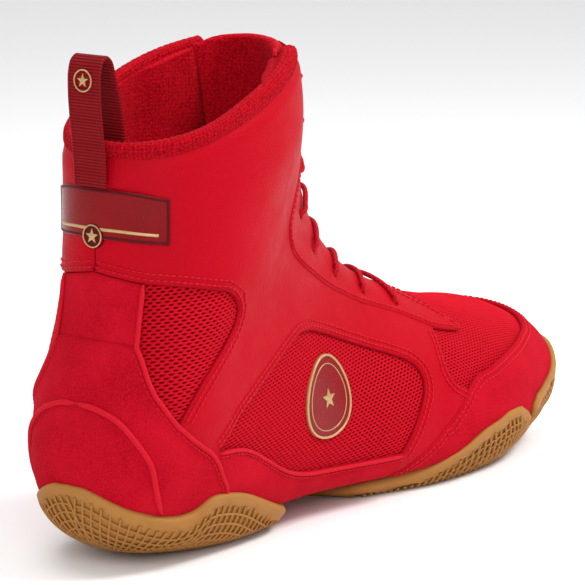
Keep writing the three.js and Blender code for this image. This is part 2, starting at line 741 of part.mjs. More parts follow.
for (let k = 0; k < BADGE_CORNERS; k++) {
  const w = (k / BADGE_CORNERS) * Math.PI * 2;
  const [t, a] = BADGE_CENTRE;
  BADGE.push([t + 0.4 * Math.cos(w) - 0.2 * Math.sin(w), a + 13 * Math.sin(w)]);
}
addPair(upper, 'collar_saddle_leather', SADDLE, SKIN, RED_LEATHER, GAP / 2, withLaceHoles);
addPair(upper, 'eyestay_leather', EYESTAY, SKIN, RED_LEATHER, GAP / 2, withLaceHoles);
addPiece(upper, 'throat_bridge_leather', panelSolid(chain(acrossFront(BRIDGE)), SKIN), RED_LEATHER);
addPair(upper, 'quarter_mesh_window', QUARTER_WINDOW, MESH, RED_MESH, -MARGIN);
addPair(upper, 'ankle_mesh_window', ANKLE_WINDOW, MESH, RED_MESH, -MARGIN);
addPair(upper, 'foxing_suede', FOXING, SKIN, RED_SUEDE);
addPiece(upper, 'toe_guard_suede', panelSolid(chain(acrossFront(GUARD)), SKIN), RED_SUEDE);
addPiece(upper, 'vamp_mesh', panelSolid(chain(acrossFront(VAMP)), MESH, -MARGIN), RED_MESH);
addPiece(upper, 'backstay_suede', panelSolid(chain(acrossBack(BACKSTAY)), SKIN), RED_SUEDE);
addPiece(upper, 'heel_overlay_suede', panelSolid(chain(acrossBack(HEEL_OVERLAY)), SKIN), RED_SUEDE);
addPiece(upper, 'rear_patch', panelSolid(chain(acrossBack(PATCH)), TRIM), DARK_RED);
addPiece(upper, 'side_badge', panelSolid(BADGE, [-0.6, 0.8], 0), DARK_RED);

const VAMP_LINING = [[4.6, 0], [4.6, 45], [4.6, 90], [4.6, 136], [-1, 136]];
const QUARTER_LINING = chain(
  [[4.6, 40], [4.6, 137], [6, 137], [7.2, 137], [7.55, 143]],
  LINING_SEAM,
  reversed(RIM.slice(1, 6)),
  [[12.0, 40]],
);
const HEEL_LINING = chain([[7.85, 180], [7.84, 165]], LINING_SEAM, [[12.02, 168], [12.03, 180]]);
const COLLAR_FOAM = chain([[9.8, 180], [9.8, 40], [12.0, 40]], RIM.slice(1));
const COLLAR_ROLL = chain(reversed(RIM.slice(1)), ROLL_TOP);
addPiece(inside, 'heel_counter', panelSolid(chain(acrossBack(COUNTER)), MESH), BOARD_LOOK);
addPiece(inside, 'toe_puff', panelSolid(chain(acrossFront(TOE_PUFF)), MESH), BOARD_LOOK);
addPiece(inside, 'vamp_lining', panelSolid(chain(acrossFront(VAMP_LINING)), liningDepth), RED_LINING);
addPair(inside, 'quarter_lining', QUARTER_LINING, liningDepth, RED_LINING);
addPiece(inside, 'heel_lining', panelSolid(chain(acrossBack(HEEL_LINING)), liningDepth), RED_LINING);
addPiece(inside, 'collar_padding', panelSolid(chain(acrossBack(COLLAR_FOAM)), collarFoamDepth), FOAM);
addPiece(inside, 'collar_roll', panelSolid(chain(acrossBack(COLLAR_ROLL)), ROLL), RED_LINING);

function tongueOutline(top) {
  return chain(acrossFront([[4.75, 0], [4.75, 36], [top - 0.15, 36], [top, 22], [top + 0.05, 0]]));
}
addPiece(inside, 'tongue_face', panelSolid(tongueOutline(12.3), TONGUE_FACE), RED_LEATHER);
addPiece(inside, 'tongue_padding', panelSolid(tongueOutline(12.2), TONGUE_FILL), FOAM);
addPiece(inside, 'tongue_lining', panelSolid(tongueOutline(12.3), TONGUE_LINING), RED_LINING);

addPiece(lacing, 'lace', laceSolid(), RED_LINING);
for (const [name, side] of [['lateral', 1], ['medial', -1]]) {
  const top = at(10.42, side * 35.5, -2.6);
  const end = at(9.75, side * 35.5, -2.6);
  addPiece(lacing, `lace_tip_${name}`, rodBetween(top, end, LACE_RADIUS, 8), DARK_RED);
}
addPiece(lacing, 'pull_loop', webbingSolid(LOOP_FREE), DARK_RED);
addPiece(lacing, 'pull_loop_outer_leg', webbingSolid(LOOP_OUTER_LEG), DARK_RED);
addPiece(lacing, 'pull_loop_inner_leg', webbingSolid(LOOP_INNER_LEG), DARK_RED);

export default boot;
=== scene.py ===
# Looks of a boxing boot (right foot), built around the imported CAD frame.
#
# Every soft skin lies on one foot form, the same fan of sections as in the CAD model:
# section t runs from the toe tip (0) to the collar rim (12), and inside a section the
# angle a starts at the front ridge (0), passes the lateral side (90), the sole or the
# back (180) and the medial side (270). Lengths here are millimetres until a mesh is made.

import math

import bpy
import numpy as np
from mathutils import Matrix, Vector, geometry


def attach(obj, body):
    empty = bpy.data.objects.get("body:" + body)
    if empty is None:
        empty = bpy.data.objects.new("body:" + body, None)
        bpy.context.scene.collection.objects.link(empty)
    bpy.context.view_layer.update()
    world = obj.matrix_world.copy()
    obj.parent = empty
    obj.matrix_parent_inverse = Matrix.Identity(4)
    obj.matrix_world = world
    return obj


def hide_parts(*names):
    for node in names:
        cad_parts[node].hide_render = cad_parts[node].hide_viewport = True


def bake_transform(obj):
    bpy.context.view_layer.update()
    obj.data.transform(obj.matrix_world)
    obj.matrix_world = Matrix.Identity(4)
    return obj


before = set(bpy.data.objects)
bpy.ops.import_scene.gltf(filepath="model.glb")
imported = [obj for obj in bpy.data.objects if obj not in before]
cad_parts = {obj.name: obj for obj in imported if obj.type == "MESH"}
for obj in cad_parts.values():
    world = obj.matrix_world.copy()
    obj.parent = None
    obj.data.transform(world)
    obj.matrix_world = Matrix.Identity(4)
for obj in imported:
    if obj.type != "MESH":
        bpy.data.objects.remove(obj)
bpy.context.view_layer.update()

MM = 0.001
BODY = "boot"
LOOP_BODY = "pull_loop"

# ---------------------------- foot form

# t, front x, front z, back x, back z, centre y, lateral half width, medial half width,
# share above the widest line, upper exponent, lower exponent
STATIONS = np.array([
    (0.0, 250, 24, 250, 24, 12, 0, 0, 0.60, 2.0, 2.4),
    (0.5, 248, 38, 245, 14, 9, 24, 20, 0.62, 2.0, 2.6),
    (1.0, 242, 49, 233, 11, 6, 38, 33, 0.62, 2.1, 2.8),
    (2.0, 221, 59, 208, 7, 3, 47, 42, 0.64, 2.1, 3.0),
    (3.0, 192, 65, 179, 4, 0, 51, 46, 0.66, 2.1, 3.2),
    (4.0, 164, 72, 145, 3, 0, 50, 46, 0.68, 2.0, 3.2),
    (5.0, 140, 81, 104, 5, 0, 44, 42, 0.70, 1.9, 3.0),
    (6.0, 117, 93, 61, 6, 0, 37, 38, 0.72, 1.9, 2.8),
    (7.0, 99, 110, 12, 5, 0, 36, 37, 0.72, 1.9, 2.6),
    (8.0, 88, 128, -34, 16, 0, 37, 37, 0.70, 2.0, 2.3),
    (9.0, 83, 144, -45, 42, 0, 38, 36, 0.66, 2.0, 2.2),
    (10.0, 80, 158, -36, 79, -1, 39, 35, 0.60, 2.0, 2.1),
    (11.0, 78, 172, -30, 116, -1, 40, 35, 0.55, 2.0, 2.1),
    (12.0, 75, 186, -30, 154, -1, 39, 36, 0.52, 2.0, 2.1),
    (13.0, 71, 200, -30, 192, -1, 38, 36, 0.50, 2.0, 2.1),
])


def slopes(p, step):
    """Tangents of the smooth line through the rows of p, which lie `step` apart."""
    step = step[:, None]
    slope = np.diff(p, axis=0) / step
    inner = (slope[:-1] * step[1:] + slope[1:] * step[:-1]) / (step[:-1] + step[1:])
    return np.vstack([slope[:1], inner, slope[-1:]])


def between(p, tangent, step, knots, s):
    """The smooth line through the rows of p, which lie at `knots`, read at s."""
    i = np.clip(np.searchsorted(knots, s, side="right") - 1, 0, len(step) - 1)
    h = step[i][..., None]
    u = (s - knots[i])[..., None] / h
    return (
        (1 + 2 * u) * (1 - u) ** 2 * p[i]
        + u * (1 - u) ** 2 * h * tangent[i]
        + u * u * (3 - 2 * u) * p[i + 1]
        + u * u * (u - 1) * h * tangent[i + 1]
    )


STATION_STEP = np.diff(STATIONS[:, 0])
TANGENTS = slopes(STATIONS, STATION_STEP)
TANGENTS[0, [1, 3]] = 0


def station(t):
    t = np.clip(np.asarray(t, float), 0, STATIONS[-1, 0])
    return between(STATIONS, TANGENTS, STATION_STEP, STATIONS[:, 0], t)


def form(t, a):
    """Points of the foot form."""
    t, a = np.broadcast_arrays(np.asarray(t, float), np.asarray(a, float))
    g = station(t)
    c, s = np.cos(np.radians(a)), np.sin(np.radians(a))
    n = np.where(c >= 0, g[..., 9], g[..., 10])
    cc = np.sign(c) * np.abs(c) ** (2 / n)
    ss = np.sign(s) * np.abs(s) ** (2 / n)
    share = g[..., 8]
    q = np.where(c >= 0, share * (1 - cc), share - (1 - share) * cc)
    width = np.where(s > 0, g[..., 6], g[..., 7])
    x = g[..., 1] + (g[..., 3] - g[..., 1]) * q
    z = g[..., 2] + (g[..., 4] - g[..., 2]) * q
    return np.stack([x, g[..., 5] - width * ss, z], -1)


def steps(t, a):
    """How the form moves per unit of t and per degree of a."""
    along = (form(t + 0.01, a) - form(t - 0.01, a)) / 0.02
    around = (form(t, a + 0.6) - form(t, a - 0.6)) / 1.2
    return along, around


def normal(t, a):
    t, a = np.broadcast_arrays(np.maximum(np.asarray(t, float), 0.03), np.asarray(a, float))
    n = np.cross(*steps(t, a))
    return n / np.maximum(np.linalg.norm(n, axis=-1, keepdims=True), 1e-9)


def at(t, a, d):
    """The point a distance d outside the form."""
    return form(t, a) + normal(t, a) * np.asarray(d, float)[..., None]


def on(ta):
    """The form's own points for rows of (t, a)."""
    return form(ta[:, 0], ta[:, 1])


def over(ta, d):
    """Points a distance d outside the form for rows of (t, a)."""
    return at(ta[:, 0], ta[:, 1], d)


def surface_shift(t, a, move):
    """The change of (t, a) that moves a point of the form by the vector move."""
    along, around = steps(t, a)
    aa, ab, bb = (np.sum(p * q, -1) for p, q in ((along, along), (along, around), (around, around)))
    ma, mb = np.sum(move * along, -1), np.sum(move * around, -1)
    det = np.maximum(aa * bb - ab * ab, 1e-9)
    return np.stack([(ma * bb - mb * ab) / det, (mb * aa - ma * ab) / det], -1)


def slide(ta, move):
    """Rows of (t, a) moved over the form by the vectors `move`."""
    return ta + surface_shift(ta[:, 0], ta[:, 1], move)


# ---------------------------- seam lines
# as in the CAD model: [t, a] on the lateral side, and the medial side is the mirror image

RIM = [
    (12.02, 16), (12.0, 45), (11.98, 75), (11.93, 105), (11.92, 125), (11.96, 148), (12.02, 168),
    (12.03, 180),
]
COLLAR_LOW = [
    (10.89, 180), (10.82, 165), (10.71, 151), (10.59, 138), (10.42, 125), (10.2, 112), (9.98, 101),
    (9.78, 94), (9.6, 88.5), (9.42, 84.5), (9.25, 83.5),
]
ANKLE_FRONT = [(9.25, 83.5), (9.2, 88), (9.2, 96), (9.12, 106), (9.03, 112), (8.93, 117.5)]
HEEL_UP = [(8.93, 117.5), (9.12, 122.5), (9.3, 128), (9.5, 135), (9.7, 141), (9.9, 146), (10.08, 150.5)]
BACK_EDGE = [(10.08, 150.5), (10.4, 151), (10.71, 151)]
BACK_SEAM = [(10.08, 150.5), (10.17, 160), (10.22, 170), (10.23, 180)]
HEEL_FRONT = [
    (8.93, 117.5), (8.8, 114), (8.5, 107), (8.3, 103), (8.12, 100.5), (7.9, 100.5), (7.7, 104),
    (7.5, 110), (7.38, 120), (7.3, 137),
]
STRAP_END = [(8.12, 100.5), (7.98, 97.5)]
QUARTER_REAR = [
    (7.98, 97.5), (7.95, 91), (7.94, 86), (7.87, 81), (7.78, 76), (7.67, 70.5), (7.53, 65), (7.38, 60.5),
]
QUARTER_TOP = [
    (7.38, 60.5), (7.2, 58), (6.8, 56), (6.22, 56), (5.8, 56.8), (5.36, 58.5), (5.12, 60.5), (4.97, 63.5),
]
QUARTER_FRONT = [(4.97, 63.5), (4.89, 68), (4.87, 73), (4.9, 80), (4.95, 89), (5.0, 97), (5.02, 103.5)]
FOXING_TOP = [
    (5.02, 103.5), (5.41, 104.5), (5.8, 104.8), (6.19, 104), (6.45, 101.5), (6.7, 98), (6.95, 94.5),
    (7.25, 91.5), (7.45, 90.5), (7.66, 91), (7.85, 94), (7.98, 97.5),
]
FOXING_FRONT = [(5.02, 103.5), (4.98, 108), (4.95, 114), (4.92, 122), (4.92, 131)]
GUARD_REAR = [
    (4.12, 74), (4.23, 79.5), (4.35, 85), (4.54, 92), (4.69, 102), (4.79, 112), (4.88, 128), (4.92, 131),
]
SADDLE_FRONT = [(4.12, 74), (4.22, 72.5), (4.34, 70), (4.42, 66), (4.46, 61), (4.47, 52), (4.47, 43)]
THROAT = 15.5
COLLAR_EDGE = COLLAR_LOW[:8] + [(9.62, 89.8), (9.48, 87.4), (9.34, 86.9), (9.24, 89.8)] + ANKLE_FRONT[2:]
QUARTER_EDGE = QUARTER_REAR + QUARTER_TOP[1:] + QUARTER_FRONT[1:]
EYESTAY_EDGE = [
    (4.47, 43), (4.75, 40.5), (5.08, 38.5), (5.5, 38), (5.94, 38.5), (6.6, 40), (7.28, 42.5), (7.85, 46),
    (8.42, 50), (8.8, 52), (9.1, 53), (9.3, 51), (9.45, 46), (9.55, 38), (9.6, 28), (9.6, THROAT),
]
EYESTAY_TIP = [(4.47, 43), (4.15, 43.5), (3.88, 42.5), (3.83, 41), (3.9, 37), (3.98, 34)]
EYESTAY_SEAM = [(3.98, 34), (4.15, 29), (4.45, 23), (4.72, 18), (4.85, THROAT)]
BRIDGE_FRONT = [(4.35, 0), (4.33, 10), (4.22, 18), (4.08, 26), (3.98, 34)]
GUARD_TOP = [
    (1.42, 0), (1.45, 15), (1.6, 30), (1.88, 42), (2.5, 51.5), (3.12, 59), (3.6, 65), (3.95, 69), (4.12, 74),
]
COUNTER_WELT = [
    (9.61, 180), (9.57, 169), (9.36, 152), (9.1, 142), (8.72, 134), (8.35, 133.5), (7.98, 137),
]
HEEL_POD = [
    (8.76, 180), (8.72, 170), (8.6, 162), (8.31, 149), (8.15, 143), (7.96, 138), (7.71, 128), (7.64, 116),
    (7.45, 111.5), (7.28, 110.5), (7.05, 112.5), (6.82, 117), (6.55, 126), (6.3, 138), (6.2, 150),
    (6.18, 165), (6.17, 180),
]
POD_FRONT = [
    (0.5, 0), (0.53, 12), (0.62, 25), (0.78, 38), (1.0, 50), (1.28, 64), (1.54, 79), (2.04, 88), (2.4, 91),
    (2.48, 94), (2.46, 101), (2.5, 110),
]
POD_REAR = [
    (2.5, 110), (2.57, 106), (2.62, 99), (2.75, 93.5), (2.95, 90), (3.2, 89.5), (3.5, 91), (3.83, 95),
    (4.16, 109), (4.5, 127), (4.84, 138), (5.15, 146), (5.24, 160), (5.25, 180),
]
PATCH_TOP = [(11.71, 180), (11.7, 168), (11.64, 155), (11.51, 140)]
PATCH_LOW = [(11.03, 140), (11.12, 152), (11.19, 165), (11.22, 180)]
EYELETS = [(5.05, 31), (5.8, 31), (6.6, 32), (7.45, 34), (8.35, 35), (9.15, 32), (10.15, 27), (11.25, 27)]
BADGE_CENTRE = (6.47, 74.5)
REAR_EMBLEM = (11.24, 180)


def step_lengths(points, least=0.0):
    return np.maximum(np.linalg.norm(np.diff(points, axis=0), axis=1), least)


def run_length(points):
    """Distance along a line, at each of its points."""
    return np.concatenate([[0], np.cumsum(step_lengths(points))])


def along_line(points, run, s):
    """Points at the distances s along a line whose points lie at `run`."""
    return np.stack([np.interp(s, run, column) for column in points.T], -1)


def resampled(p, step, spacing, fewest):
    """The smooth line through the rows of p, with a point about every `spacing` mm."""
    knots = np.concatenate([[0], np.cumsum(step)])
    s = np.linspace(0, knots[-1], max(fewest, int(round(knots[-1] / spacing)) + 1))
    return between(p, slopes(p, step), step, knots, s)


def smooth(seam, spacing=1.4):
    """A seam's points joined by a smooth line over the form."""
    p = np.array(seam, float)
    return p if len(p) < 2 else resampled(p, step_lengths(on(p), 0.01), spacing, 2)


def offset_line(line, distance, side):
    """A smooth line moved over the surface, to its left (side 1) or right (-1)."""
    ta = line if isinstance(line, np.ndarray) else smooth(line, 0.6)
    across = np.cross(normal(ta[:, 0], ta[:, 1]), np.gradient(on(ta), axis=0))
    across /= np.linalg.norm(across, axis=1, keepdims=True)
    return slide(ta, across * side * distance)


def back(seam):
    """A line walked the other way."""
    return seam[::-1]


def chain(*lines):
    """Smooth seams, end to end, as one closed outline."""
    parts = [smooth(line) for line in lines]
    out = [parts[0]]
    for part in parts[1:]:
        gap = np.abs(out[-1][-1] - part[0]).sum()
        out.append(part[1:] if gap < 1e-6 else part)
    joined = np.vstack(out)
    return joined[:-1] if np.abs(joined[0] - joined[-1]).sum() < 1e-6 else joined


def mirror(ta):
    """The same points on the medial side."""
    return ta * (1, -1) + (0, 360)


def medial(outline):
    """The mirror image of a lateral outline, walked the same way round."""
    return mirror(outline)[::-1]


SIDES = (("lateral", lambda outline: outline), ("medial", medial))


def over_front(*lines):
    """Lateral lines and their mirror images, joined over the front ridge."""
    half = np.vstack([smooth(line) for line in lines])
    return tidy(np.vstack([half, (half * (1, -1))[::-1]]))


def over_back(*lines):
    """Lateral lines and their mirror images, joined over the back or the sole."""
    half = np.vstack([smooth(line) for line in lines])
    return tidy(np.vstack([half, medial(half)]))


def tuck(outline, *lines, distance=1.8):
    """The outline moved out along some of its seams, to lie under the piece beyond them."""
    seams = np.vstack([smooth(line, 0.5) for line in lines])
    points = on(outline)
    far, _ = nearest(points, on(seams))
    reach, _ = nearest(points, points[far > 0.5])
    out = inward(outline, turn_of(outline)) * (-distance * soft(reach, 0.5, 3.5) * (far < 0.5))[:, None]
    return slide(outline, out)


def tidy(outline):
    """The outline without points that lie on each other."""
    step = np.abs(outline - np.roll(outline, 1, axis=0)).sum(1)
    return outline[step > 1e-4]


# ---------------------------- mesh tools


def set_weave(mesh, uv):
    """Gives a mesh its flat coordinates, one row per vertex."""
    corner = np.empty(len(mesh.loops), np.int32)
    mesh.loops.foreach_get("vertex_index", corner)
    layer = mesh.uv_layers.new(name="weave")
    layer.data.foreach_set("uv", np.asarray(uv, np.float32)[corner].ravel())


def add_mesh(name, verts, faces, material, uv=None, values=None, flat=False):
    """A new object from points in mm; uv and values (name: number) are given per vertex."""
    mesh = bpy.data.meshes.new(name)
    mesh.from_pydata((np.asarray(verts) * MM).tolist(), [], [list(map(int, f)) for f in faces])
    mesh.update()
    if not flat:
        mesh.shade_smooth()
    if uv is not None:
        set_weave(mesh, uv)
    for key, value in (values or {}).items():
        attribute = mesh.attributes.new(key, "FLOAT", "POINT")
        attribute.data.foreach_set("value", np.asarray(value, np.float32))
    mesh.materials.append(material)
    piece = bpy.data.objects.new(name, mesh)
    bpy.context.scene.collection.objects.link(piece)
    return piece


def place(piece, slot, *nodes, body=BODY):
    """Attaches a finished piece to its body and hides the CAD nodes that it stands for; slot is not used."""
    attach(piece, body)
    if nodes:
        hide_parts(*nodes)
    return piece


def inside(outline, points):
    """Which points lie inside a closed outline."""
    x, y = points[:, 0][:, None], points[:, 1][:, None]
    x0, y0 = outline[:, 0][None], outline[:, 1][None]
    x1, y1 = np.roll(outline[:, 0], -1)[None], np.roll(outline[:, 1], -1)[None]
    spans = (y0 > y) != (y1 > y)
    with np.errstate(divide="ignore", invalid="ignore"):
        cut = x0 + (y - y0) * (x1 - x0) / (y1 - y0)
    return (spans & (x < cut)).sum(1) % 2 == 1


BLOCK = 2000


def nearest(points, samples):
    """Distance from each point to the nearest sample, and which one it is."""
    far, which = np.empty(len(points)), np.empty(len(points), int)
    for i in range(0, len(points), BLOCK):
        d = np.linalg.norm(points[i:i + BLOCK, None] - samples[None], axis=2)
        which[i:i + BLOCK] = d.argmin(1)
        far[i:i + BLOCK] = d.min(1)
    return far, which


def turn_of(outline):
    x, y = outline[:, 0], outline[:, 1]
    return np.sign(np.sum(x * np.roll(y, -1) - y * np.roll(x, -1)))


def inward(outline, turn):
    """The unit vector in the surface that points into the outline, at each of its points."""
    points = on(outline)
    tangent = np.roll(points, -1, axis=0) - np.roll(points, 1, axis=0)
    across = np.cross(normal(outline[:, 0], outline[:, 1]), tangent) * turn
    return across / np.maximum(np.linalg.norm(across, axis=1, keepdims=True), 1e-9)


T_SCALE, A_SCALE = 28.0, 0.75


def to_sheet(ta):
    return ta * (T_SCALE, A_SCALE)


def to_disc(ta):
    w = np.radians(ta[:, 1])
    return np.stack([np.cos(w), np.sin(w)], -1) * (ta[:, :1] * T_SCALE)


def from_disc(p):
    return np.stack([np.hypot(p[:, 0], p[:, 1]) / T_SCALE, np.degrees(np.arctan2(p[:, 1], p[:, 0]))], -1)


def fill_rows(outline, spacing, disc):
    """Points over the inside of an outline, about `spacing` mm apart."""
    (t0, a0), (t1, a1) = outline.min(0), outline.max(0)
    if disc:
        t0, a0, a1 = 0.0, -180.0, 180.0
    along, _ = steps(np.clip(outline[:, 0], 0.05, 12.9), outline[:, 1])
    rows = max(2, int(round((t1 - t0) * np.linalg.norm(along, axis=1).mean() / spacing)))
    out = []
    for k in range(rows + 1):
        t = t0 + (t1 - t0) * k / rows
        a = np.linspace(a0, a1, 90)
        length = step_lengths(form(t, a)).sum()
        count = max(1, int(round(length / spacing)))
        row = a0 + (a1 - a0) * (np.arange(count) + 0.5 * (k % 2)) / count
        out.append(np.stack([np.full(count, t), row], -1))
    return np.vstack(out)


def turns(count):
    return np.linspace(0, 2 * math.pi, count, endpoint=False)


def small_circle(t, a, radius, u, v, count):
    """A circle on the form round (t, a), in the plane of the directions u and v."""
    w = turns(count)
    move = radius * (np.cos(w)[:, None] * u + np.sin(w)[:, None] * v)
    return slide(np.full((count, 2), (t, a), float), move)


def triangulate(outline, spacing, rings, disc=False, holes=()):
    """Triangles inside an outline, as (t, a) points, faces and distances to the edge."""
    flatten = to_disc if disc else to_sheet
    samples = on(outline)
    lead = inward(outline, turn_of(to_disc(outline) if disc else outline))
    sets = []
    for ring in rings:
        moved = slide(outline, lead * ring)
        gap, _ = nearest(on(moved), samples)
        sets.append(moved[gap > 0.9 * ring])
    fill = fill_rows(outline, spacing, disc)
    gap, _ = nearest(on(fill), samples)
    sets.append(fill[gap > rings[-1] + 0.55 * spacing])
    loops = [flatten(outline)]
    extra = flatten(np.vstack(sets))
    extra = extra[inside(loops[0], extra)]
    for t, a, radius in holes:
        along, around = steps(np.array(t), np.array(a))
        u = along / np.linalg.norm(along)
        v = around - u * np.dot(around, u)
        v /= np.linalg.norm(v)
        loop = flatten(small_circle(t, a, radius, u, v, 12))
        middle = loop.mean(0)
        reach = np.linalg.norm(loop - middle, axis=1).max()
        extra = extra[np.linalg.norm(extra - middle, axis=1) > reach * 1.25]
        loops.append(loop)
    edges, count = [], 0
    for loop in loops:
        edges += [(count + k, count + (k + 1) % len(loop)) for k in range(len(loop))]
        count += len(loop)
    flat = np.vstack(loops + [extra])
    result = geometry.delaunay_2d_cdt([Vector(p) for p in flat.tolist()], edges, [], 1, 1e-4)
    made = np.array([(p.x, p.y) for p in result[0]])
    faces = np.array([f for f in result[2] if len(f) == 3])
    for loop in loops[1:]:
        faces = faces[~inside(loop, made[faces].mean(1))]
    p0, p1, p2 = (made[faces[:, k]] for k in range(3))
    area = (p1[:, 0] - p0[:, 0]) * (p2[:, 1] - p0[:, 1]) - (p1[:, 1] - p0[:, 1]) * (p2[:, 0] - p0[:, 0])
    faces[area < 0] = faces[area < 0][:, ::-1]
    ta = from_disc(made) if disc else made / (T_SCALE, A_SCALE)
    gap, _ = nearest(on(ta), samples)
    return ta, faces, gap


def close(top, bottom, faces):
    """A solid from an outer and an inner face with the same triangles."""
    count = len(top)
    directed = np.vstack([faces[:, [0, 1]], faces[:, [1, 2]], faces[:, [2, 0]]])
    known = {tuple(e) for e in directed.tolist()}
    walls = [(q, p, p + count, q + count) for p, q in known if (q, p) not in known]
    under = faces[:, ::-1] + count
    return np.vstack([top, bottom]), faces.tolist() + under.tolist() + sorted(walls)


def rolled(gap, radius, thick):
    """How far a panel's face sinks at its rolled edge, `radius` mm wide."""
    share = 1 - np.clip(gap / radius, 0, 1)
    return np.minimum(radius, thick) * (1 - np.sqrt(1 - share ** 2))


def panel(
    name, outline, material, high, low, spacing=2.4, edge=0.9, relief=None, holes=(), disc=False,
    ground=None, under_relief=None,
):
    """A closed panel on the form: rolled edges, and relief(t, a, gap) on its outer face."""
    rings = [0.25 * edge, 0.6 * edge, 1.1 * edge, 2.2 * edge]
    ta, faces, gap = triangulate(outline, spacing, rings, disc, holes)
    t, a = ta[:, 0], ta[:, 1]
    high = high(t) if callable(high) else np.full(len(t), float(high))
    low = low(t) if callable(low) else np.full(len(t), float(low))
    height = high - rolled(gap, edge, high - low)
    if relief is not None:
        height = height + relief(t, a, gap)
    depth = np.minimum(low, height - 0.4)
    if under_relief is not None:
        depth = depth + under_relief(t, a, gap)
    top, bottom = at(t, a, height), at(t, a, depth)
    if ground is not None:
        top[:, 2] = np.maximum(top[:, 2], ground)
    verts, solid = close(top, bottom, faces)
    # edge_share is 0 at the panel's edge and 1 from 6 mm in; the leather and suede looks darken towards the
    # edge with it, partly as edge dye and partly as painted shade in the seams.
    tall = np.concatenate([np.clip(gap / 6, 0, 1)] * 2)
    uv = around_uv(form(t, a))
    return add_mesh(name, verts, solid, material, uv=np.vstack([uv, uv]), values={"edge_share": tall})


def around_uv(points):
    """Flat coordinates in mm: round the ankle, and up."""
    return np.stack([np.degrees(np.arctan2(-points[:, 1], 20 - points[:, 0])) * 0.66, points[:, 2]], -1)


def frames_along(points):
    """Unit normals and binormals that turn as little as possible along a line."""
    tangent = np.gradient(points, axis=0)
    tangent /= np.maximum(np.linalg.norm(tangent, axis=1, keepdims=True), 1e-9)
    side = np.cross(tangent[0], (0, 0, 1) if abs(tangent[0][2]) < 0.9 else (1, 0, 0))
    normals = []
    for direction in tangent:
        side = side - direction * np.dot(side, direction)
        side /= np.linalg.norm(side)
        normals.append(side)
    normals = np.array(normals)
    return normals, np.cross(tangent, normals)


def loft(count, per, closed=False):
    """Faces between `count` rings of `per` points, with end caps or closed into a loop."""
    faces = []
    for k in range(count if closed else count - 1):
        n = (k + 1) % count
        for j in range(per):
            m = (j + 1) % per
            faces.append((k * per + j, k * per + m, n * per + m, n * per + j))
    if not closed:
        faces += [tuple(range(per))[::-1], tuple(range((count - 1) * per, count * per))]
    return faces


def flipped(faces):
    """The same faces turned inside out, each from the same first corner."""
    return [face[:1] + face[:0:-1] for face in faces]


def tube_parts(points, radius, sides=10):
    """Vertices, faces and (length, turn) of a tube with closed ends."""
    points = np.asarray(points, float)
    side, up = frames_along(points)
    radius = np.broadcast_to(np.asarray(radius, float), (len(points),))
    w = turns(sides)
    ring = np.cos(w)[None, :, None] * side[:, None] + np.sin(w)[None, :, None] * up[:, None]
    verts = (points[:, None] + ring * radius[:, None, None]).reshape(-1, 3)
    uv = np.broadcast_arrays(run_length(points)[:, None], (w / (2 * math.pi))[None])
    return verts, loft(len(points), sides), np.stack(uv, -1).reshape(-1, 2)


def join_parts(parts):
    verts, faces, uvs, count = [], [], [], 0
    for v, f, uv in parts:
        verts.append(v)
        uvs.append(uv)
        faces += [tuple(i + count for i in face) for face in f]
        count += len(v)
    return np.vstack(verts), faces, np.vstack(uvs)


def place_parts(name, parts, material, slot, *nodes, flat=False, body=BODY):
    """Places one piece that is made of separate closed parts."""
    verts, faces, uv = join_parts(parts)
    return place(add_mesh(name, verts, faces, material, uv=uv, flat=flat), slot, *nodes, body=body)


def spline(points, spacing):
    """A smooth line through points in space, resampled every `spacing` mm."""
    p = np.asarray(points, float)
    return resampled(p, step_lengths(p, 1e-6), spacing, 3)


def ramp(v, low, high):
    return np.clip((v - low) / (high - low), 0, 1)


def soft(v, low, high):
    u = ramp(v, low, high)
    return u * u * (3 - 2 * u)


def wave(points, size, seed):
    """Gentle, smooth unevenness between about -1 and 1 over points in mm."""
    rng = np.random.default_rng(seed)
    out = np.zeros(len(points))
    for _ in range(6):
        direction = rng.normal(size=3)
        direction *= 2 * math.pi / (size * np.linalg.norm(direction))
        out += np.sin(points @ direction + rng.uniform(0, 2 * math.pi))
    return out / 3


# ---------------------------- materials


PAINT = 0.6


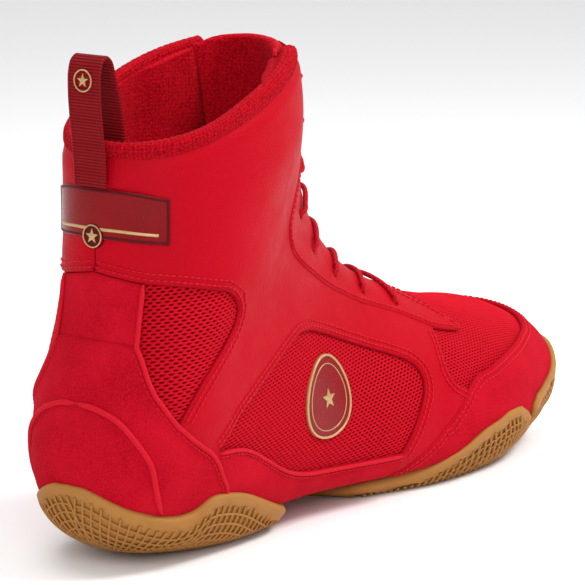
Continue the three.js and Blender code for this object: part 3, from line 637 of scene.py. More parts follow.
class Look:
    """A small builder for one node material; paint scales its colours to the studio light."""

    def __init__(self, name, paint=PAINT):
        self.paint = paint
        self.material = bpy.data.materials.new(name)
        self.material.use_nodes = True
        self.tree = self.material.node_tree
        self.shader = self.tree.nodes["Principled BSDF"]
        self.where = self.node("ShaderNodeTexCoord").outputs["Object"]
        self.bumps = []

    def node(self, kind, **settings):
        made = self.tree.nodes.new(kind)
        for key, value in settings.items():
            setattr(made, key, value)
        return made

    def feed(self, socket, value):
        if isinstance(value, bpy.types.NodeSocket):
            self.tree.links.new(value, socket)
        else:
            socket.default_value = value

    def noise(self, size, detail=3, rough=0.55):
        """Noise from 0 to 1 with grains of about `size` mm."""
        made = self.node("ShaderNodeTexNoise")
        self.feed(made.inputs["Vector"], self.where)
        made.inputs["Scale"].default_value = 1000 / size
        made.inputs["Detail"].default_value = detail
        made.inputs["Roughness"].default_value = rough
        return made.outputs["Fac"]

    def cells(self, size):
        """Distance to the middle of cells of about `size` mm."""
        made = self.node("ShaderNodeTexVoronoi")
        self.feed(made.inputs["Vector"], self.where)
        made.inputs["Scale"].default_value = 1000 / size
        return made.outputs["Distance"]

    def math(self, kind, a, b=0.0):
        made = self.node("ShaderNodeMath", operation=kind)
        self.feed(made.inputs[0], a)
        self.feed(made.inputs[1], b)
        return made.outputs[0]

    def ripple(self, value, period):
        """A sine of `value`, from -1 to 1."""
        return self.math("SINE", self.math("MULTIPLY", value, 2 * math.pi / period))

    def stretch(self, value, low, high, to_low=0.0, to_high=1.0):
        made = self.node("ShaderNodeMapRange")
        names = ("Value", "From Min", "From Max", "To Min", "To Max")
        for key, number in zip(names, (value, low, high, to_low, to_high)):
            self.feed(made.inputs[key], number)
        return made.outputs["Result"]

    def mix(self, share, a, b):
        made = self.node("ShaderNodeMix", data_type="RGBA")
        self.feed(made.inputs["Factor"], share)
        for socket, colour in ((made.inputs["A"], a), (made.inputs["B"], b)):
            plain = not isinstance(colour, bpy.types.NodeSocket)
            self.feed(socket, (*(c * self.paint for c in colour), 1) if plain else colour)
        return made.outputs["Result"]

    def value(self, name):
        return self.node("ShaderNodeAttribute", attribute_name=name).outputs["Fac"]

    def weave(self):
        """The piece's own flat coordinates, in mm."""
        made = self.node("ShaderNodeSeparateXYZ")
        uv = self.node("ShaderNodeUVMap", uv_map="weave")
        self.feed(made.inputs[0], uv.outputs[0])
        return made.outputs[0], made.outputs[1]

    def bump(self, height, depth, strength):
        """Adds relief of about `depth` mm."""
        made = self.node("ShaderNodeBump")
        made.inputs["Strength"].default_value = strength
        made.inputs["Distance"].default_value = depth * MM
        self.feed(made.inputs["Height"], height)
        if self.bumps:
            self.feed(made.inputs["Normal"], self.bumps[-1])
        self.bumps.append(made.outputs["Normal"])
        self.feed(self.shader.inputs["Normal"], self.bumps[-1])

    def sheen(self, weight, roughness, tint=(1.0, 0.1, 0.12, 1)):
        """A faint sheen of short fibres."""
        for key, value in (("Weight", weight), ("Roughness", roughness), ("Tint", tint)):
            self.shader.inputs[f"Sheen {key}"].default_value = value

    def finish(self, colour, rough, specular, **more):
        """Sets the shader's colour and values, and gives the finished material."""
        inputs = {"Base Color": colour, "Roughness": rough, "Specular IOR Level": specular, **more}
        for key, value in inputs.items():
            self.feed(self.shader.inputs[key.replace("_", " ")], value)
        return self.material


# Edge dye and painted shade: the leather and suede looks blend towards this darker red near the panels'
# edges.
EDGE_DYE_AND_SHADE_RED = (0.42, 0.001, 0.007)


def plain_look(name, grain, colours, rough, specular, bumps, paint=PAINT, **more):
    """A look with noise between two colours; grain and bumps give the noise's size and detail."""
    look = Look(name, paint)
    if isinstance(rough, tuple):
        rough = look.stretch(look.noise(*rough[0]), 0.3, 0.7, *rough[1])
    for noise, depth, strength in bumps:
        look.bump(look.noise(*noise), depth, strength)
    return look.finish(look.mix(look.noise(*grain), *colours), rough, specular, **more)


def leather_look():
    look = Look("red_leather")
    wide = look.noise(38, 2)
    base = look.mix(wide, (0.62, 0.001, 0.012), (0.72, 0.002, 0.018))
    pores = look.cells(0.85)
    base = look.mix(look.stretch(pores, 0.0, 0.35, 0.22, 0.0), base, (0.40, 0.002, 0.008))
    # Darker towards the panel's edges: partly edge dye, partly painted shade where the rolled edge meets the
    # next panel.
    base = look.mix(look.stretch(look.value("edge_share"), 0.0, 0.35, 0.35, 0.0), base, EDGE_DYE_AND_SHADE_RED)
    look.bump(look.noise(2.6, 4), 0.14, 0.6)
    look.bump(pores, 0.16, 0.8)
    return look.finish(base, look.stretch(look.noise(9, 3), 0.3, 0.7, 0.40, 0.54), 0.05)


def suede_look():
    look = Look("red_suede")
    nap = look.noise(0.55, 4, 0.7)
    brushed = look.noise(16, 3)
    base = look.mix(look.stretch(nap, 0.35, 0.65), (0.42, 0.0012, 0.010), (0.86, 0.006, 0.028))
    base = look.mix(look.stretch(brushed, 0.35, 0.7, 0.0, 0.5), base, (0.88, 0.01, 0.034))
    # Darker towards the panel's edges: partly edge dye, partly painted shade where the rolled edge meets the
    # next panel.
    base = look.mix(look.stretch(look.value("edge_share"), 0.0, 0.3, 0.4, 0.0), base, EDGE_DYE_AND_SHADE_RED)
    look.bump(nap, 0.22, 0.7)
    look.bump(look.noise(5, 3), 0.25, 0.35)
    look.sheen(0.04, 0.45)
    return look.finish(base, 0.93, 0.05)


def net_look():
    look = Look("red_mesh_yarn")
    strand = look.noise(0.5, 3, 0.6)
    # Painted shade: the yarn darkens from its top down the hole walls to the hole floors.
    high = look.value("shade_by_rise")
    base = look.mix(look.stretch(high, 0.0, 1.0), (0.36, 0.0006, 0.005), (0.86, 0.002, 0.02))
    base = look.mix(look.stretch(strand, 0.35, 0.7, 0.0, 0.25), base, (0.95, 0.01, 0.035))
    look.bump(strand, 0.12, 0.6)
    return look.finish(base, 0.62, 0.06)


def lining_look(name, pattern, depth):
    look = Look(name)
    u, v = look.weave()
    row, other = (look.ripple(look.math(kind, u, v), 2.9) for kind in ("ADD", "SUBTRACT"))
    knit = look.stretch(look.math("MULTIPLY", row, other), -1, 1)
    fuzz = look.noise(0.8, 4, 0.75)
    base = look.mix(look.stretch(fuzz, 0.38, 0.62), (0.40, 0.0004, 0.005), (1.0, 0.004, 0.024))
    base = look.mix(look.stretch(knit, 0.0, 0.6, pattern, 0.0), base, (0.22, 0.0006, 0.004))
    look.bump(knit, depth, 0.5)
    look.bump(look.noise(2.2, 3), 0.5, 0.5)
    look.bump(fuzz, 0.5, 0.9)
    look.sheen(0.12, 0.5)
    return look.finish(base, 0.97, 0.06)


def rib_lining_look():
    look = Look("red_ribbed_lining")
    u, _ = look.weave()
    rib = look.stretch(look.ripple(u, 3.2), -1, 1)
    fuzz = look.noise(0.6, 4, 0.75)
    base = look.mix(look.stretch(fuzz, 0.35, 0.65), (0.45, 0.0006, 0.006), (0.95, 0.002, 0.02))
    base = look.mix(look.stretch(rib, 0.0, 0.5, 0.5, 0.0), base, (0.18, 0.0005, 0.003))
    look.bump(rib, 0.7, 0.7)
    look.bump(fuzz, 0.35, 0.7)
    look.sheen(0.12, 0.5)
    return look.finish(base, 0.97, 0.06)


def gum_look():
    look = Look("gum_rubber")
    cloud = look.noise(45, 3)
    fine = look.noise(0.9, 4)
    base = look.mix(cloud, (0.52, 0.215, 0.042), (0.62, 0.275, 0.062))
    base = look.mix(look.stretch(look.noise(5, 4), 0.5, 0.8, 0.0, 0.25), base, (0.38, 0.15, 0.03))
    look.bump(fine, 0.06, 0.5)
    return look.finish(base, look.stretch(look.noise(7, 3), 0.3, 0.7, 0.5, 0.66), 0.2)


def webbing_look():
    look = Look("wine_webbing")
    u, v = look.weave()
    rib = look.stretch(look.ripple(u, 1.15), -1, 1)
    warp = look.stretch(look.ripple(v, 1 / 22), -1, 1)
    yarn = look.noise(0.5, 3)
    base = look.mix(rib, (0.14, 0.0003, 0.002), (0.44, 0.001, 0.007))
    base = look.mix(look.stretch(yarn, 0.4, 0.7, 0.0, 0.35), base, (0.38, 0.005, 0.014))
    look.bump(rib, 0.22, 0.8)
    look.bump(look.math("MULTIPLY", warp, rib), 0.1, 0.5)
    look.sheen(0.03, 0.35, (1.0, 0.12, 0.15, 1))
    return look.finish(base, 0.6, 0.1)


def lace_look():
    look = Look("red_lace_braid")
    length, turn = look.weave()
    turns = look.math("MULTIPLY", turn, 2 * math.pi * 4)
    run = look.math("MULTIPLY", length, 2 * math.pi / 2.6)
    one = look.math("SINE", look.math("ADD", turns, run))
    two = look.math("SINE", look.math("SUBTRACT", turns, run))
    braid = look.stretch(look.math("MAXIMUM", one, two), 0, 1)
    base = look.mix(braid, (0.46, 0.001, 0.007), (0.85, 0.003, 0.02))
    look.bump(braid, 0.25, 0.8)
    look.sheen(0.03, 0.4, (1.0, 0.12, 0.15, 1))
    base = look.mix(look.stretch(look.noise(0.5, 3), 0.4, 0.7, 0, 0.25), base, (0.9, 0.015, 0.035))
    return look.finish(base, 0.66, 0.1)


def foam_look():
    look = Look("red_foam")
    bubbles = look.cells(1.1)
    look.bump(bubbles, 0.3, 0.6)
    base = look.mix(look.stretch(bubbles, 0, 0.5), (0.30, 0.0015, 0.006), (0.55, 0.004, 0.014))
    return look.finish(base, 0.95, 0.2)


LEATHER, SUEDE, NET, RUBBER = leather_look(), suede_look(), net_look(), gum_look()
LINING, RIB_LINING = lining_look("red_brushed_lining", 0.15, 0.25), rib_lining_look()
ROLL_KNIT = lining_look("red_roll_knit", 0.55, 0.8)
WEBBING, LACE, FOAM = webbing_look(), lace_look(), foam_look()
# The piping is painted lighter than the suede beside it: a painted highlight on the raised cord.
LIT_WELT = plain_look(
    "red_piping", (0.8, 4), ((0.66, 0.003, 0.016), (1.0, 0.012, 0.04)), 0.7, 0.1, [((0.5, 3), 0.1, 0.5)],
)
BACKING = plain_look(
    "red_mesh_backing", (0.8, 3), ((0.34, 0.0006, 0.004), (0.60, 0.001, 0.008)), 0.95, 0.05,
    [((0.8, 3), 0.2, 0.6)],
)
THREAD = plain_look(
    "red_thread", (0.7, 3), ((0.70, 0.0015, 0.012), (1.0, 0.01, 0.035)), 0.5, 0.1,
    [((0.35, 2), 0.08, 0.7)],
)
FILM = plain_look(
    "wine_gloss_film", (12, 3), ((0.25, 0.0004, 0.003), (0.40, 0.0008, 0.006)),
    ((1.4, 4), (0.16, 0.3)), 0.12, [((1.1, 3), 0.04, 0.4)], Coat_Weight=0.08, Coat_Roughness=0.12,
)
DARK_EDGE = plain_look(
    "dark_welded_edge", (2, 3), ((0.10, 0.0004, 0.0015), (0.17, 0.0006, 0.0025)), 0.45, 0.12,
    [((0.8, 3), 0.05, 0.5)],
)
GOLD_FOIL = plain_look(
    "gold_transfer", (1.5, 4), ((0.50, 0.31, 0.12), (0.66, 0.45, 0.20)), ((0.9, 3), (0.3, 0.46)), 0.5,
    [((0.6, 3), 0.04, 0.5)], 0.85, Metallic=0.55,
)
BOARD = plain_look(
    "fibre_board", (1.3, 5, 0.7), ((0.42, 0.29, 0.16), (0.60, 0.45, 0.28)), 0.88, 0.25,
    [((1.3, 5, 0.7), 0.15, 0.6)],
)
FLOOR = plain_look(
    "pale_floor", (400, 2), ((0.93, 0.93, 0.935), (0.95, 0.95, 0.955)), 0.7, 0.25, [], 1.0,
)

# ---------------------------- camera and stage

PHOTO_AZIMUTH, PHOTO_ELEVATION = -54.3, 12.1
CAMERA_TARGET = np.array((95, 0, 82))
CAMERA_DISTANCE = 1300
LENS = 201.2
FLOOR_SIZE = 6000
WORLD_LIGHT = 0.72


def make_stage():
    camera = bpy.data.objects.new("camera", bpy.data.cameras.new("camera"))
    bpy.context.scene.collection.objects.link(camera)
    a, e = math.radians(PHOTO_AZIMUTH), math.radians(PHOTO_ELEVATION)
    away = np.array((math.sin(a) * math.cos(e), -math.cos(a) * math.cos(e), math.sin(e)))
    camera.location = (CAMERA_TARGET + away * CAMERA_DISTANCE) * MM
    camera.rotation_euler = Vector(-away).to_track_quat("-Z", "Y").to_euler()
    camera.data.lens = LENS
    camera.data.sensor_width = 36
    camera.data.clip_end = 50
    bpy.context.scene.camera = camera

    corners = FLOOR_SIZE * np.array([(-1, -1, 0), (1, -1, 0), (1, 1, 0), (-1, 1, 0)])
    floor = add_mesh("floor", corners, [(0, 1, 2, 3)], FLOOR)

    world = bpy.data.worlds.new("world")
    world.use_nodes = True
    world.node_tree.nodes["Background"].inputs["Color"].default_value = (1, 1, 1, 1)
    world.node_tree.nodes["Background"].inputs["Strength"].default_value = WORLD_LIGHT
    bpy.context.scene.world = world
    lamps = (
        # name, position in metres, size in metres, power in watts
        ("key", (0.5, -0.6, 0.95), 0.4, 10.0),
        ("fill", (-0.7, -0.5, 0.6), 0.7, 3.5),
        ("top", (0.0, 0.3, 1.1), 0.7, 4.0),
    )
    for name, where, size, power in lamps:
        lamp = bpy.data.lights.new(name, "AREA")
        lamp.shape = "DISK"
        lamp.size = size
        lamp.energy = power
        holder = bpy.data.objects.new(name, lamp)
        holder.location = where
        towards = Vector(CAMERA_TARGET * MM) - Vector(where)
        holder.rotation_euler = towards.to_track_quat("-Z", "Y").to_euler()
        bpy.context.scene.collection.objects.link(holder)
    bpy.context.scene.view_settings.view_transform = "Standard"


make_stage()

# ---------------------------- outlines

LEATHER_RIM = [(t + 0.09, a) for t, a in RIM]
SADDLE = tuck(
    chain(
        LEATHER_RIM, COLLAR_EDGE, HEEL_FRONT[:5], STRAP_END, QUARTER_EDGE, FOXING_FRONT,
        back(GUARD_REAR), SADDLE_FRONT, EYESTAY_EDGE, [(9.6, THROAT), (10.8, 15.6), LEATHER_RIM[0]],
    ),
    HEEL_FRONT[:5], STRAP_END, FOXING_FRONT, GUARD_REAR, EYESTAY_EDGE,
)
EYESTAY = chain(back(EYESTAY_EDGE), EYESTAY_TIP, EYESTAY_SEAM, [(4.85, THROAT), (7, THROAT), (9.6, THROAT)])
QUARTER = chain(QUARTER_EDGE, FOXING_TOP)
ANKLE = chain(COLLAR_EDGE[2:], HEEL_UP, BACK_EDGE)
FOXING = chain(
    FOXING_TOP, back(STRAP_END), HEEL_FRONT[4:], [(7.3, 137), (6.9, 138), (6, 138), (4.92, 138)],
    [(4.92, 138), (4.92, 131)], back(FOXING_FRONT),
)
FOXING = tuck(FOXING, HEEL_FRONT[4:9])
BRIDGE = over_front(
    BRIDGE_FRONT, [(3.98, 34), (4.2, 36), (4.5, 34), (4.8, 27), (4.86, 20)],
    [(4.86, 20), (4.87, 8), (4.87, 0)],
)
GUARD = over_front(
    GUARD_TOP, GUARD_REAR, [(4.92, 131), (5.0, 138)], [(5.0, 138), (3.6, 138), (2, 138), (0.3, 137)],
    [(0.3, 137), (0.3, 70), (0.3, 0)],
)
VAMP = over_front(GUARD_TOP, SADDLE_FRONT, EYESTAY_TIP, back(BRIDGE_FRONT))
BACKSTAY = over_back(back(BACK_SEAM), BACK_EDGE, back(COLLAR_LOW[:3]))
BACKSTAY = tuck(BACKSTAY, BACK_SEAM, medial(smooth(BACK_SEAM)))
HEEL_OVERLAY = over_back(
    back(BACK_SEAM), back(HEEL_UP), HEEL_FRONT, [(7.3, 137), (7.5, 146), (7.7, 160), (7.78, 180)],
)
HEEL_POD_EDGE = over_back(HEEL_POD)
FOREFOOT_POD_EDGE = over_front(back(POD_REAR), back(POD_FRONT))
PATCH = over_back(PATCH_TOP, [PATCH_TOP[-1], PATCH_LOW[0]], PATCH_LOW)

# ---------------------------- skins

SKIN_LOW = -0.8
LEATHER_HIGH = 0.5
OVERLAY_HIGH = 1.0
LACE_HOLE = 1.5
LOW_HOLES = 9.6
CREASES = (
    # line, depth in mm (negative goes in), width in mm
    ([(5.92, 40), (5.86, 44), (5.84, 48), (5.89, 53)], -0.7, 1.6),
    ([(7.9, 60), (8.3, 66), (8.7, 74), (8.9, 82)], -0.5, 5.0),
    ([(8.5, 56), (8.9, 62), (9.2, 70), (9.6, 80)], 0.45, 6.0),
    ([(9.9, 60), (10.2, 80), (10.35, 100), (10.6, 120)], -0.4, 7.0),
    ([(10.9, 60), (11.1, 85), (11.2, 110), (11.3, 130)], 0.5, 9.0),
    ([(4.6, 66), (4.55, 75), (4.62, 84)], -0.5, 3.0),
)


def to_lateral(a):
    """The same angle, or that of the mirror image on the lateral side."""
    return np.where(a % 360 > 180, 360 - a % 360, a % 360)


def creased(t, a, gap):
    """Soft folds of the leather, and its roll-over at the collar rim."""
    points = form(t, to_lateral(a))
    out = np.zeros(len(t))
    for line, depth, width in CREASES:
        far, _ = nearest(points, on(smooth(line)))
        out += depth * np.exp(-((far / width) ** 2))
    out += 0.35 * wave(form(t, a), 55, 3) * soft(gap, 1, 12)
    return out - 2.1 * soft(t, 11.72, 12.0) ** 2


def dimpled(t, a, gap):
    """The creased leather, pulled in around the lace holes."""
    far, _ = nearest(form(t, to_lateral(a)), on(np.array(EYELETS, float)))
    return creased(t, a, gap) - 0.7 * np.exp(-((far / 2.6) ** 2))


def make_leather():
    for side, turn in SIDES:
        holes = [(t, a if side == "lateral" else 360 - a, LACE_HOLE) for t, a in EYELETS]
        high = [hole for hole in holes if hole[0] >= LOW_HOLES]
        piece = panel(
            f"saddle_{side}", turn(SADDLE), LEATHER, LEATHER_HIGH, SKIN_LOW, relief=dimpled, holes=high,
        )
        place(piece, "red_leather", f"collar_saddle_leather_{side}")
        low = [hole for hole in holes if hole[0] < LOW_HOLES]
        piece = panel(
            f"eyestay_{side}", turn(EYESTAY), LEATHER, OVERLAY_HIGH, SKIN_LOW, relief=dimpled, holes=low,
        )
        place(piece, "red_leather", f"eyestay_leather_{side}")
    piece = panel("throat_bridge", BRIDGE, LEATHER, LEATHER_HIGH, SKIN_LOW, relief=creased)
    place(piece, "red_leather", "throat_bridge_leather")


def counter_raised(t, a, gap):
    """The stiffened heel stands a little proud below its welt."""
    side = to_lateral(a)
    ta = smooth(COUNTER_WELT)
    inner = inside(np.vstack([ta, [(7.0, 137), (7.0, 190)]]), np.stack([t, side], -1))
    far, _ = nearest(form(t, side), on(ta))
    return 0.45 * inner * soft(far, 0, 6) + 0.25 * wave(form(t, a), 40, 5) * soft(gap, 1, 9)


def piping(name, ta, height, radius):
    """A raised cord under the suede along a seam, on both sides of the boot."""
    index = np.arange(len(ta))
    taper = np.minimum(1, np.minimum(index, index[::-1]) / 5 + 0.3)
    parts = [tube_parts(over(half, height), radius * taper) for half in (ta, mirror(ta))]
    place_parts(name, parts, LIT_WELT, "red_suede")


def nap(t, a, gap):
    return 0.3 * wave(form(t, a), 40, 7) * soft(gap, 1, 9)


def make_suede():
    arch = chain(
        [(5.0, 137), (6, 137), (7.0, 137)], [(7.0, 137), (7.0, 223)],
        [(7.0, 223), (6, 223), (5.0, 223)], [(5.0, 223), (5.0, 137)],
    )
    overlays = [(f"foxing_{side}", f"foxing_suede_{side}", turn(FOXING)) for side, turn in SIDES]
    for name, node, outline in overlays + [("toe_guard", "toe_guard_suede", GUARD)]:
        place(panel(name, outline, SUEDE, OVERLAY_HIGH, SKIN_LOW, relief=nap), "red_suede", node)
    piece = panel("backstay", BACKSTAY, SUEDE, LEATHER_HIGH, SKIN_LOW, relief=nap)
    place(piece, "red_suede", "backstay_suede")
    high = OVERLAY_HIGH + 0.1
    piece = panel("heel_overlay", HEEL_OVERLAY, SUEDE, high, SKIN_LOW, 1.9, relief=counter_raised)
    place(piece, "red_suede", "heel_overlay_suede")
    front = [smooth(line, 1.0)[1:] for line in (back(HEEL_UP), HEEL_FRONT[:9])]
    front = np.vstack([smooth(back(BACK_EDGE), 1.0)] + front)
    piping("counter_welt", smooth(COUNTER_WELT, 1.0), OVERLAY_HIGH + 0.45, 1.1)
    piping("heel_overlay_piping", offset_line(front, 0.8, -1), OVERLAY_HIGH + 0.15, 0.95)
    piping("foxing_piping", offset_line(smooth(FOXING_TOP, 1.0), 0.7, 1), OVERLAY_HIGH + 0.1, 0.8)
    place(panel("arch_panel_skin", arch, SUEDE, 0.4, SKIN_LOW), "red_suede", "arch_panel")


# ---------------------------- mesh windows

YARN_TOP, HOLE_RIM, HOLE_FLOOR = -0.85, -1.1, -1.75
BACKING_HIGH, BACKING_LOW = -2.0, -2.4


def side_view(p):
    return np.stack([p[..., 0], p[..., 2]], -1)


def ankle_view(p):
    return np.stack([38 * np.arctan2(-1 - p[..., 1], 20 - p[..., 0]), p[..., 2]], -1)


def vamp_view(p):
    return np.stack([p[..., 0], 48 * np.arctan2(-p[..., 1], p[..., 2] - 15)], -1)


def locate(target, flatten, guess):
    """The (t, a) whose form point looks like `target` in a flat view, by Newton's method."""
    ta = guess.copy()
    for _ in range(10):
        here = flatten(on(ta))
        by_t = (flatten(on(ta + (0.01, 0))) - here) / 0.01
        by_a = (flatten(on(ta + (0, 0.5))) - here) / 0.5
        off = target - here
        det = by_t[:, 0] * by_a[:, 1] - by_t[:, 1] * by_a[:, 0]
        det = np.where(np.abs(det) < 1e-3, 1e-3, det)
        dt = (off[:, 0] * by_a[:, 1] - off[:, 1] * by_a[:, 0]) / det
        da = (by_t[:, 0] * off[:, 1] - by_t[:, 1] * off[:, 0]) / det
        ta += np.stack([np.clip(dt, -0.3, 0.3), np.clip(da, -8, 8)], -1)
    return ta


def net(name, outline, flatten, pitch, row, hole, slope, crown):
    """An open knitted mesh over an outline: a staggered grid of oval holes in a thin sheet."""
    edge = flatten(on(outline))
    low, high = edge.min(0) - 3, edge.max(0) + 3
    e1 = np.array((pitch, slope * pitch))
    e2 = np.array((pitch / 2, row + slope * pitch / 2))
    cols, rows = (int(count) + 2 for count in (high - low) / (pitch, row))
    reach = int(rows / 2) + 1
    drift = int(abs(slope) * (high[0] - low[0]) / row) + 1
    i = np.arange(-reach - drift, cols + drift)
    j = np.arange(-drift * 2, rows + drift * 2)
    cell = np.stack(np.meshgrid(i, j, indexing="ij"), -1).reshape(-1, 2)
    middle = low + (cell[:, :1] + 0.5) * e1 + (cell[:, 1:] + 0.5) * e2
    near, _ = nearest(middle, edge)
    keep = (inside(edge, middle) | (near < 2.0)) & ((middle > low) & (middle < high)).all(1)
    corner_keys = cell[keep][:, None] + ((0, 0), (1, 0), (1, 1), (0, 1))
    unique, inverse = np.unique(corner_keys.reshape(-1, 2), axis=0, return_inverse=True)
    inverse = inverse.reshape(-1, 4)
    target = low + unique[:, :1] * e1 + unique[:, 1:] * e2
    _, start = nearest(target, edge)
    ta = locate(target, flatten, 0.5 * outline[start] + 0.5 * outline.mean(0))
    cells = ta[inverse]
    cell_flat = np.array([0 * e1, e1, e1 + e2, e2])
    centre = cell_flat.mean(0)
    ring = []
    for k in range(4):
        for p in (cell_flat[k], (cell_flat[k] + cell_flat[(k + 1) % 4]) / 2):
            w = math.atan2((p[1] - centre[1]) / hole[1], (p[0] - centre[0]) / hole[0])
            ring.append(centre + (hole[0] * math.cos(w), hole[1] * math.sin(w)))
    basis = np.linalg.inv(np.stack([e1, e2], -1))
    hole_ta = np.stack([
        cells[:, 0] * (1 - u) * (1 - v) + cells[:, 1] * u * (1 - v) + cells[:, 2] * u * v
        + cells[:, 3] * (1 - u) * v
        for u, v in (basis @ p for p in ring)
    ], 1).reshape(-1, 2)

    def swell(points):
        gap, _ = nearest(on(points), on(outline))
        return crown * soft(gap * inside(to_sheet(outline), to_sheet(points)), 0, 14)

    hole_rise = swell(hole_ta)
    top = over(ta, YARN_TOP + swell(ta))
    rim = over(hole_ta, HOLE_RIM + hole_rise)
    floor = over(hole_ta, HOLE_FLOOR + hole_rise)
    count, per = len(top), len(rim)
    faces = []
    for index, corners in enumerate(inverse.tolist()):
        h = [count + index * 8 + k for k in range(8)]
        for k in range(4):
            faces.append((corners[k], corners[(k + 1) % 4], h[2 * k + 1]))
            faces.append((corners[k], h[2 * k + 1], h[2 * k]))
            faces.append((corners[k], h[2 * k], h[(2 * k + 7) % 8]))
        for k in range(8):
            n = (k + 1) % 8
            faces.append((h[k], h[n], h[n] + per, h[k] + per))
    verts = np.vstack([top, rim, floor])
    p0, p1, p2 = (verts[[f[k] for f in faces[:60]]] for k in range(3))
    outward = np.repeat(normal(cells[:5, 0, 0], cells[:5, 0, 1]), 12, 0)
    if np.median(np.sum(np.cross(p1 - p0, p2 - p0) * outward, -1)) < 0:
        faces = [f[::-1] for f in faces]
    # 1 on the yarn's top, 0.45 at the hole rims and 0 at the hole floors; the mesh look uses it to paint
    # shade down into the holes.
    lift = np.repeat((1.0, 0.45, 0.0), (count, per, per))
    return add_mesh(name, verts, faces, NET, values={"shade_by_rise": lift})


def window(name, side, node, edge, flatten, *grid):
    """A mesh window, and the dark cloth behind it."""
    def swell(t, a, gap):
        return grid[-1] * soft(gap, 0, 14)

    cloth = panel(f"{name}_backing{side}", edge, BACKING, BACKING_HIGH, BACKING_LOW, 3.0, 0.3, swell)
    place(cloth, "red_mesh")
    place(net(f"{name}_net{side}", edge, flatten, *grid), "red_mesh", node)


def make_windows():
    windows = (
        # name, outline, flat view, hole pitch, row pitch, half axes of a hole, slope, crown
        ("quarter", QUARTER, side_view, 2.45, 1.25, (0.76, 0.36), 0.12, 0.9),
        ("ankle", ANKLE, ankle_view, 2.4, 1.25, (0.74, 0.36), 0.1, 0.9),
    )
    for name, outline, *rest in windows:
        for side, turn in SIDES:
            window(name, f"_{side}", f"{name}_mesh_window_{side}", turn(outline), *rest)
    window("vamp", "", "vamp_mesh", VAMP, vamp_view, 2.1, 1.1, (0.56, 0.3), 0.0, 0.7)


# ---------------------------- stitching

STITCH, STITCH_GAP, THREAD_RADIUS = 1.9, 0.5, 0.36


def stitches(ta, height):
    """Separate short stitches along a line of (t, a) points."""
    points = over(ta, height)
    run = run_length(points)
    parts = []
    start = STITCH_GAP
    while start + STITCH < run[-1]:
        centre = along_line(points, run, start + STITCH * np.array((0, 0.15, 0.5, 0.85, 1)))
        middle = np.argmin(np.abs(run - start))
        lift = normal(ta[middle, 0], ta[middle, 1])
        centre = centre + lift * np.array((-0.35, 0.05, 0.12, 0.05, -0.35))[:, None]
        parts.append(tube_parts(centre, THREAD_RADIUS * np.array((0.6, 1, 1, 1, 0.6)), 5))
        start += STITCH + STITCH_GAP
    return parts


def row_inside(line, distance, owner):
    """The line moved `distance` mm to the side that lies inside its piece's outline."""
    both = [offset_line(line, distance, side) for side in (1, -1)]
    return max(both, key=lambda ta: inside(owner, ta).sum())


def make_stitching():
    overlay, leather = OVERLAY_HIGH + 0.1, LEATHER_HIGH + 0.1
    rows = (
        # line, distances from it, the piece that it is sewn into, height, relief
        (EYESTAY_EDGE, (2.0,), EYESTAY, overlay, dimpled),
        (EYESTAY_TIP, (2.0,), EYESTAY, overlay, dimpled),
        (EYESTAY_SEAM, (2.0,), EYESTAY, overlay, dimpled),
        (QUARTER_EDGE, (1.8, 4.0), SADDLE, leather, creased),
        (COLLAR_EDGE, (1.8, 4.0), SADDLE, leather, creased),
        (SADDLE_FRONT, (1.8, 3.8), SADDLE, leather, creased),
        (FOXING_TOP, (2.2,), FOXING, overlay, nap),
        (GUARD_REAR, (1.8, 4.0), GUARD, overlay, nap),
        (GUARD_TOP, (1.8, 4.0), GUARD, overlay, nap),
        (BRIDGE_FRONT, (1.8,), BRIDGE, leather, creased),
        (HEEL_UP, (2.6,), HEEL_OVERLAY, overlay + 0.1, counter_raised),
        (HEEL_FRONT[:9], (2.6,), HEEL_OVERLAY, overlay + 0.1, counter_raised),
    )
    for side, _ in SIDES:
        parts = []
        for line, distances, owner, height, relief in rows:
            for distance in distances:
                ta = row_inside(line, distance, owner)
                if side == "medial":
                    ta = mirror(ta)
                lift = relief(ta[:, 0], ta[:, 1], np.full(len(ta), distance))
                parts += stitches(ta, height + lift)
        place_parts(f"stitching_{side}", parts, THREAD, "red_leather")


# ---------------------------- patch and badge

STAR_WAIST = 0.42
STAR_SUNK = 0.6


def strip(name, first, second, high, low, material, closed=False):
    """A flat band between two lines of (t, a) points, with softened edges."""
    soft_high = high - 0.15
    profile = ((0.0, low), (0.0, soft_high), (0.15, high), (0.85, high), (1.0, soft_high), (1.0, low))
    rings = [over(first * (1 - share) + second * share, height) for share, height in profile]
    verts = np.stack(rings, 1).reshape(-1, 3)
    faces = loft(len(first), len(profile), closed)
    p0, p1, p2 = verts[list(faces[2][:3])]
    if np.dot(np.cross(p1 - p0, p2 - p0), normal(first[0, 0], first[0, 1])) < 0:
        faces = [face[::-1] for face in faces]
    place(add_mesh(name, verts, faces, material, uv=verts[:, [0, 2]]), "dark_red_trim")


def outline_strip(name, outline, inset, width, high, low, material):
    """A narrow band that follows a closed outline on the form, `inset` mm inside it."""
    lead = inward(outline, turn_of(outline))
    first, second = (slide(outline, lead * far) for far in (inset, inset + width))
    strip(name, first, second, high, low, material, True)


def star_parts(centre, across, up, out, size, thick):
    """A raised five-pointed star with a ridge to each point."""
    ring = []
    for k in range(10):
        w = math.pi / 2 + k * math.pi / 5
        r = size * (1 if k % 2 == 0 else STAR_WAIST)
        ring.append(centre + across * r * math.cos(w) + up * r * math.sin(w))
    ring = np.array(ring)
    low, high = centre - out * STAR_SUNK, centre + out * thick
    verts = np.vstack([ring - out * STAR_SUNK, ring + out * thick * 0.4, [high], [low]])
    faces = []
    for k in range(10):
        n = (k + 1) % 10
        faces.append((k, n, n + 10, k + 10))
        faces.append((k + 10, n + 10, 20))
        faces.append((n, k, 21))
    return verts, faces, verts[:, [0, 2]]


